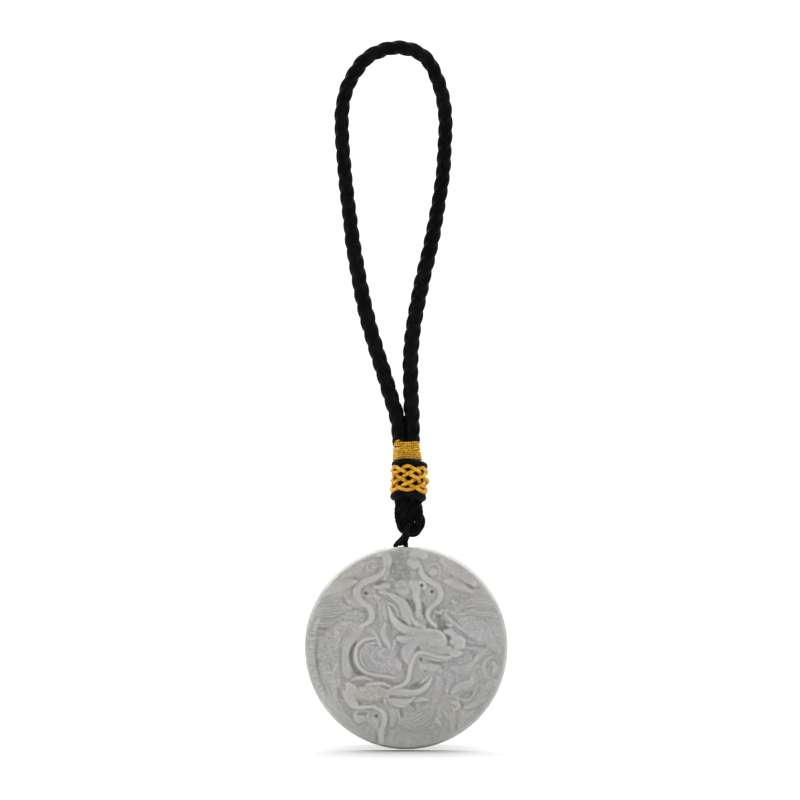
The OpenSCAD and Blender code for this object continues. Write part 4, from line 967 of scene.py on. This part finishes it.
class PendantStone(bpy.types.PropertyGroup):
    """Depth of the carving and colours of the stone"""
    depth: share_of("Carving depth", "Share of the drawn depth of the carving", 0.52, 1.5)
    rings: bpy.props.IntProperty(name="Rings", description="Rings of the mesh over the carved face", default=160,
                                 min=20)
    tone: colour_of("Stone", "Middle tone of the stone", (0.36, 0.356, 0.343))
    tone_dark: colour_of("Dark cloud", "Tone of the darker clouds", (0.31, 0.31, 0.298))
    tone_pale: colour_of("Pale cloud", "Tone of the paler clouds", (0.415, 0.41, 0.393))
    tone_fleck: colour_of("Flecks", "Tone of the small crystals", (0.55, 0.55, 0.54))
    # Painted shade in the hollows and creases, and painted highlights on the crests and thin edges.
    painted_shade_tone: colour_of("Hollows", "Tone that the carved hollows fall to", (0.17, 0.172, 0.165))
    painted_highlight_tone: colour_of("Crests", "Tone that the polished crests rise to", (0.50, 0.495, 0.48))
    painted_hollow_shade: share_of("Hollow tint", "Strength of the darker hollows", 0.25)
    painted_crest_highlight: share_of("Crest tint", "Strength of the paler crests", 0.3)
    painted_edge_highlight: share_of("Edge tint", "Strength of the pale thin edges", 0.3)
    painted_crease_shade: share_of("Crease tint", "Strength of the darker creases", 0.08)
    glow: share_of("Glow", "Share of light that spreads inside the stone", 1.0)


class PendantStage(bpy.types.PropertyGroup):
    """Floor, camera and lights"""
    floor: size_of("Floor", "Depth of the floor below the point that the loop hangs from", 0.1882)
    # The patch settings below place and darken the painted shadow on the floor under the stone.
    patch: size_of("Patch", "Radius of the soft grey patch on the floor under the stone", 0.04)
    painted_shadow_back: size_of("Patch place", "How far behind the stone the middle of the patch lies", 0.017)
    painted_shadow_dark: share_of("Patch strength", "Strength of the patch in its middle", 0.5)
    camera_away: size_of("Camera distance", "Distance of the camera from the pendant", 1.6)
    camera_down: size_of("Camera height", "Depth of the camera below the point that the loop hangs from", 0.0933)
    camera_left: size_of("Camera aside", "How far left of the loop's middle the camera stands", 0.00168)
    lens: bpy.props.FloatProperty(name="Lens", description="Focal length", default=266.0, unit="CAMERA")
    front: power_of("Front light", "Power of the large soft light behind the camera", 8.15)
    left: power_of("Left light", "Power of the soft light on the left", 4.2)
    right: power_of("Right light", "Power of the soft light on the right", 2.6)
    top: power_of("Top light", "Power of the soft light above", 5.0)
    back: power_of("Back light", "Power of the soft light above and behind, which draws the shadow forward", 7.4)
    room: share_of("Room", "Strength of the light from all round", 0.38, 2.0)
    sheet_glow: share_of("Backdrop glow", "Light that the far part of the white backdrop gives itself", 0.6, 2.0)


# ---- Operators, one for the stage and one for each piece or group of like pieces ----

# Soft lights, in metres. Columns: setting that holds the power, width, height, place.
LIGHTS = (
    ("front", 1.0, 1.0, (0.0, -1.9, 0.0)),
    ("left", 0.6, 0.6, (-0.75, -0.35, -0.25)),
    ("right", 0.6, 0.6, (0.75, -0.35, -0.1)),
    ("top", 1.7, 0.7, (0.0, -0.12, 0.7)),
    ("back", 1.7, 0.5, (0.0, 0.4, 0.3)),
)
LIGHT_AIM = Vector((0, 0, -0.14))
SHEET_HALF, SHEET_NEAR, SHEET_BEND, SHEET_TALL = 2500.0, 300.0, 300.0, 1500.0  # white sheet, in millimetres


class PENDANT_OT_stage(bpy.types.Operator):
    """Adds the camera, the pale floor with its curved backdrop and the soft studio lights"""
    bl_idname = "pendant.stage"
    bl_label = "Stage"

    def execute(self, context):
        scene, looks = context.scene, context.scene.pendant_stage
        camera = bpy.data.objects.new("Camera", bpy.data.cameras.new("Camera"))
        camera.data.lens, camera.data.clip_end = looks.lens, 10
        camera.location = (-looks.camera_left, -looks.camera_away, -looks.camera_down)
        camera.rotation_euler = (math.pi / 2, 0, 0)
        scene.collection.objects.link(camera)
        scene.camera = camera
        scene.view_settings.view_transform = "Standard"
        world = bpy.data.worlds.new("Studio")
        world.use_nodes = True
        plug(world.node_tree, world.node_tree.nodes["Background"], {0: (1, 1, 1, 1), 1: looks.room})
        scene.world = world
        low = -looks.floor / MM
        rows = [(y, low) for y in (-SHEET_HALF, -SHEET_NEAR, SHEET_NEAR, SHEET_HALF)]
        rows += [(SHEET_HALF + SHEET_BEND * math.sin(a), low + SHEET_BEND * (1 - math.cos(a)))
                 for a in np.linspace(0, math.pi / 2, 16)[1:]]
        rows.append((SHEET_HALF + SHEET_BEND, SHEET_TALL))
        verts = [(x, y, z) for y, z in rows for x in (-SHEET_HALF, SHEET_HALF)]
        faces = [(2 * i, 2 * i + 1, 2 * i + 3, 2 * i + 2) for i in range(len(rows) - 1)]
        new_object("studio_floor", verts, faces, floor_material())
        for side, width, height, place in LIGHTS:
            name = side.capitalize() + " light"
            light = bpy.data.lights.new(name, "AREA")
            light.shape, light.size, light.size_y = "RECTANGLE", width, height
            light.energy = getattr(looks, side)
            obj = bpy.data.objects.new(name, light)
            obj.location = place
            obj.rotation_euler = (LIGHT_AIM - Vector(place)).to_track_quat("-Z", "Y").to_euler()
            scene.collection.objects.link(obj)
        return {"FINISHED"}


class PENDANT_OT_cord_loop(bpy.types.Operator):
    """Adds the long loop of twisted black rope"""
    bl_idname = "pendant.cord_loop"
    bl_label = "Cord loop"

    def execute(self, context):
        looks = context.scene.pendant_cords
        rope = shared(cord_material, "Black rope", 44.0)
        path, length = smooth_path(ROPE_PATH, 0.36)
        shape = plied(looks.rope_width / MM / 2, STRANDS, looks.rope_lay / MM, 0.3, yarns=YARNS, flute=0.06)
        run = np.linspace(0, length, len(path))
        near = np.minimum(run, length - run)
        full = 1.11 + 0.1 * ease((75 - near) / 30)  # the two limbs swell towards the knot
        taper = 0.8 + 0.2 * ease(near / 3)  # and slim where they enter it
        wide = (full + 0.015 * np.sin(run * 0.9) + 0.01 * np.sin(run * 0.37)) * taper
        loop = tube("loop_rope_twisted", path, length,
                    lambda run, angle: shape(run, angle) * wide[:, None], 90, rope)
        seated(loop, "cord", "black_cord", "loop_rope")
        return {"FINISHED"}


class PENDANT_OT_gold_wrap(bpy.types.Operator):
    """Adds the gold thread wound round the two ends of the rope"""
    bl_idname = "pendant.gold_wrap"
    bl_label = "Gold wrap"

    def execute(self, context):
        looks = context.scene.pendant_gold
        r, turns, steps = looks.wrap_width / MM / 2, 8.4, 20
        low, pitch, out = 5.35, 0.6, 2.25  # lowest row, rise of one turn, and reach from the middle of each limb
        apart_low, apart_high = 1.55, 0.95  # half the distance between the limbs, at the first and the last row
        loose_left, loose_right, gap = 5.4, 3.9, 0.3  # turns after which the rows part on each side, and by how much
        points = []
        for i in range(int(turns * steps) + 1):
            t, a = i / (turns * steps), math.radians(100 + (i + 0.5) * 360 / steps)
            half, x = apart_low + (apart_high - apart_low) * t, -0.4 - 0.4 * t
            left, right = max(0, -math.cos(a)), max(0, math.cos(a))
            part = gap * (left * (i > loose_left * steps) + right * (i > loose_right * steps)) - 0.08 * (left + right)
            reach = out + 0.04 * math.sin(2.3 * i)
            points.append(knot_point(
                x + half * math.copysign(1, math.cos(a)) + reach * math.cos(a), reach * math.sin(a),
                low + r + max(pitch * (i / steps - 0.4), 0) + part, roll=0))
        path, length = smooth_path(points, 0.085)
        gold = shared(gold_material, "Gold wrap thread", 8.0, 1.2, 1.08, 0.1)
        thread = tube("gold_wrap_thread", path, length, plied(r, 2, 1.15, 0.42), 14, gold, side=UPRIGHT)
        seated(thread, "cord", "gold_thread", "gold_wrap")
        return {"FINISHED"}


class PENDANT_OT_lattice(bpy.types.Operator):
    """Adds the two gold cords plaited round the knot"""
    bl_idname = "pendant.lattice"
    bl_label = "Gold lattice"

    def execute(self, context):
        r = context.scene.pendant_gold.lattice_width / MM / 2
        gold = shared(gold_material, "Gold lattice cord", 14.0, 0.15)
        tall, blunt = 3.3, 0.97  # half height of the sleeve, and how straight a strand runs between its turns
        sleeve, lift, flare = 4.15, 0.45, 0.45  # radius, rise over a crossing, and widening at both ends
        for name, first in (("a", 0), ("b", 60)):
            rings = []
            for turn in (first, first + 120, first + 240):
                points = []
                for i in range(60):
                    a = math.radians(6 * i)
                    phi = a + math.radians(turn + 27)
                    over = -math.cos(6 * a) * max(-1, min(1, 2.5 * math.sin(a)))
                    z = tall * math.asin(blunt * math.cos(a)) / math.asin(blunt)
                    z += 0.1 * math.sin(2 * phi + turn) + 0.08 * math.sin(5 * phi + 1.3 * turn) - 0.1
                    bulge = 0.5 * (name == "a") * math.exp(-(math.sin(phi / 2) / 0.2)**2 - ((z + 0.5) / 1.3)**2)
                    out = sleeve + lift * over + bulge + flare * (z / tall)**6
                    points.append(knot_point(out * math.cos(phi), out * math.sin(phi), z))
                path, length = smooth_path(points, 0.14, closed=True)
                rings.append(tube("ring", path, length, braided(r, 0.3, 6, 0.04), 18, gold, True, UPRIGHT))
            seated(joined("gold_lattice_" + name, rings), "cord", "gold_thread", "lattice_strand_" + name)
        return {"FINISHED"}


# The knot's collars. Columns: node, height from the knot's middle, radius of the ring, radius of the cord, droop.
COLLARS = (("upper_collar", 4.3, 4.05, 0.85, 0.18), ("lower_collar", -4.5, 3.7, 1.2, 0.1))


class PENDANT_OT_collars(bpy.types.Operator):
    """Adds the two black collars of the knot and the dark cord stuffing between them"""
    bl_idname = "pendant.collars"
    bl_label = "Collars and core"

    def execute(self, context):
        satin = shared(cord_material, "Black satin cord", 26.0, 0.02, (0.5, 0.65), 0.1)
        for name, z, ring, r, droop in COLLARS:
            points = []
            for a in np.linspace(0, math.tau, 36, endpoint=False):
                rise = 0.06 * math.sin(3 * a + 1)
                points.append(knot_point(ring * math.cos(a), ring * math.sin(a),
                                         z - droop * (math.cos(2 * a) + 0.6 * math.cos(a)) + rise))
            path, length = smooth_path(points, 0.16, closed=True)
            collar = tube(name + "_cord", path, length, lambda run, angle: r + 0 * run + 0.02 * np.cos(3 * angle),
                          30, satin, True, UPRIGHT)
            seated(collar, "cord", "black_cord", name)
        path, length = smooth_path([knot_point(0, 0, z) for z in (-4.2, -2, 0, 2, 4.2)], 0.3)
        core = tube("knot_core_cords", path, length, braided(3.75, 1.6, 14, 0.1), 96,
                    shared(core_material, "Knot core"))
        seated(core, "cord", "black_cord", "knot_core")
        return {"FINISHED"}


class PENDANT_OT_bight(bpy.types.Operator):
    """Adds the short turned end of the rope below the knot, with the thin cord laid along it"""
    bl_idname = "pendant.bight"
    bl_label = "Rope end"

    def execute(self, context):
        rope = shared(cord_material, "Black rope", 44.0)
        path, length = smooth_path(BIGHT_PATH, 0.2)
        radius = np.interp(np.linspace(0, 1, len(path)), np.linspace(0, 1, len(BIGHT_RADIUS)), BIGHT_RADIUS)
        lay = 10.2  # a little tighter than in the long loop
        shape = plied(1.0, STRANDS, lay, 0.4, 0.6, yarns=YARNS, flute=0.035)
        bight = tube("rope_bight_twisted", path, length,
                     lambda run, angle: shape(run, angle) * radius[:, None], 72, rope)
        path, length = smooth_path(FILLER_PATH, 0.2)
        inside = tube("filler", path, length, plied(1.45, STRANDS, lay, 0.3, yarns=YARNS, flute=0.03),
                      60, rope)
        seated(joined("rope_bight_twisted", [bight, inside]), "cord", "black_cord", "rope_bight")
        return {"FINISHED"}


class PENDANT_OT_link(bpy.types.Operator):
    """Adds the thin black cord that ties the stone to the rope"""
    bl_idname = "pendant.link"
    bl_label = "Link cord"

    def execute(self, context):
        looks = context.scene.pendant_cords
        thin = shared(cord_material, "Thin black cord", 14.0, 0.3)
        step, plies, groove, sides = 0.12, 3, 0.36, 24
        turns, lay = 9, 3.4  # turns of the plies in the ring, so that it closes, and their lay in the loose ends
        path, length = smooth_path(LINK_PATH, step, closed=True)
        link = tube("link_cord_twisted", path, length,
                    plied(looks.link_width / MM / 2, plies, length / turns, groove), sides, thin, True)
        ends = []
        for route, width in ((TAIL_PATH, looks.tail_width), (NECK_PATH, looks.link_width * 1.1),
                             (FOOT_PATH, looks.link_width * 1.1), (TOE_PATH, looks.link_width)):
            path, length = smooth_path(route, step)
            ends.append(tube("end", path, length, plied(width / MM / 2, plies, lay, groove), sides, thin))
        seated(joined("link_cord_twisted", [link, *ends]), "cord", "black_cord", "link_cord")
        return {"FINISHED"}


class PENDANT_OT_stone(bpy.types.Operator):
    """Adds the carved jadeite disc with its cord channel"""
    bl_idname = "pendant.stone"
    bl_label = "Carved stone"

    def execute(self, context):
        looks = context.scene.pendant_stone
        verts, faces, tone = stone_mesh(looks.depth, looks.rings)
        stone = new_object("jade_disc_carved", verts + [0, 0, DISC_Z], faces, shared(stone_material, "Jadeite"))
        # The Relief colour holds how high and how sharp the carving is, which the stone's painted shade and
        # highlights follow.
        layer = stone.data.color_attributes.new("Relief", "FLOAT_COLOR", "POINT")
        layer.data.foreach_set("color", np.column_stack([tone, tone[:, 0], np.ones(len(tone))])
                               .astype(np.float32).ravel())
        for cut_verts, cut_faces in cord_channel():
            cutter = new_object("cutter", cut_verts, cut_faces, stone.data.materials[0])
            cut = stone.modifiers.new("Channel", "BOOLEAN")
            cut.operation, cut.solver, cut.object = "DIFFERENCE", "EXACT", cutter
            with context.temp_override(object=stone, active_object=stone):
                bpy.ops.object.modifier_apply(modifier=cut.name)
            bpy.data.objects.remove(cutter)
        seated(stone, "pendant", "jade", "jade_disc")
        return {"FINISHED"}


class PENDANT_PT_panel(bpy.types.Panel):
    """Lists the pieces of the pendant and their sizes and colours"""
    bl_idname = "PENDANT_PT_panel"
    bl_label = "Pendant"
    bl_space_type = "VIEW_3D"
    bl_region_type = "UI"
    bl_category = "Pendant"

    def draw(self, context):
        for step in STEPS:
            self.layout.operator(step.bl_idname)
        for name, group in SETTINGS.items():
            box = self.layout.box()
            for prop in group.__annotations__:
                box.prop(getattr(context.scene, name), prop)


SETTINGS = {"pendant_stage": PendantStage, "pendant_cords": PendantCords, "pendant_gold": PendantGold,
            "pendant_stone": PendantStone}
STEPS = (PENDANT_OT_stage, PENDANT_OT_cord_loop, PENDANT_OT_gold_wrap, PENDANT_OT_lattice, PENDANT_OT_collars,
         PENDANT_OT_bight, PENDANT_OT_link, PENDANT_OT_stone)


def register():
    """Registers the settings, the operators and the panel."""
    for name, group in SETTINGS.items():
        bpy.utils.register_class(group)
        setattr(bpy.types.Scene, name, bpy.props.PointerProperty(type=group))
    for cls in (*STEPS, PENDANT_PT_panel):
        bpy.utils.register_class(cls)


def unregister():
    """Takes them out again, in the opposite order."""
    for cls in (PENDANT_PT_panel, *reversed(STEPS)):
        bpy.utils.unregister_class(cls)
    for name, group in SETTINGS.items():
        delattr(bpy.types.Scene, name)
        bpy.utils.unregister_class(group)


def main():
    """Registers the add-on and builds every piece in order."""
    register()
    for step in STEPS:
        group, action = step.bl_idname.split(".")
        getattr(getattr(bpy.ops, group), action)()


if __name__ == "__main__":
    main()
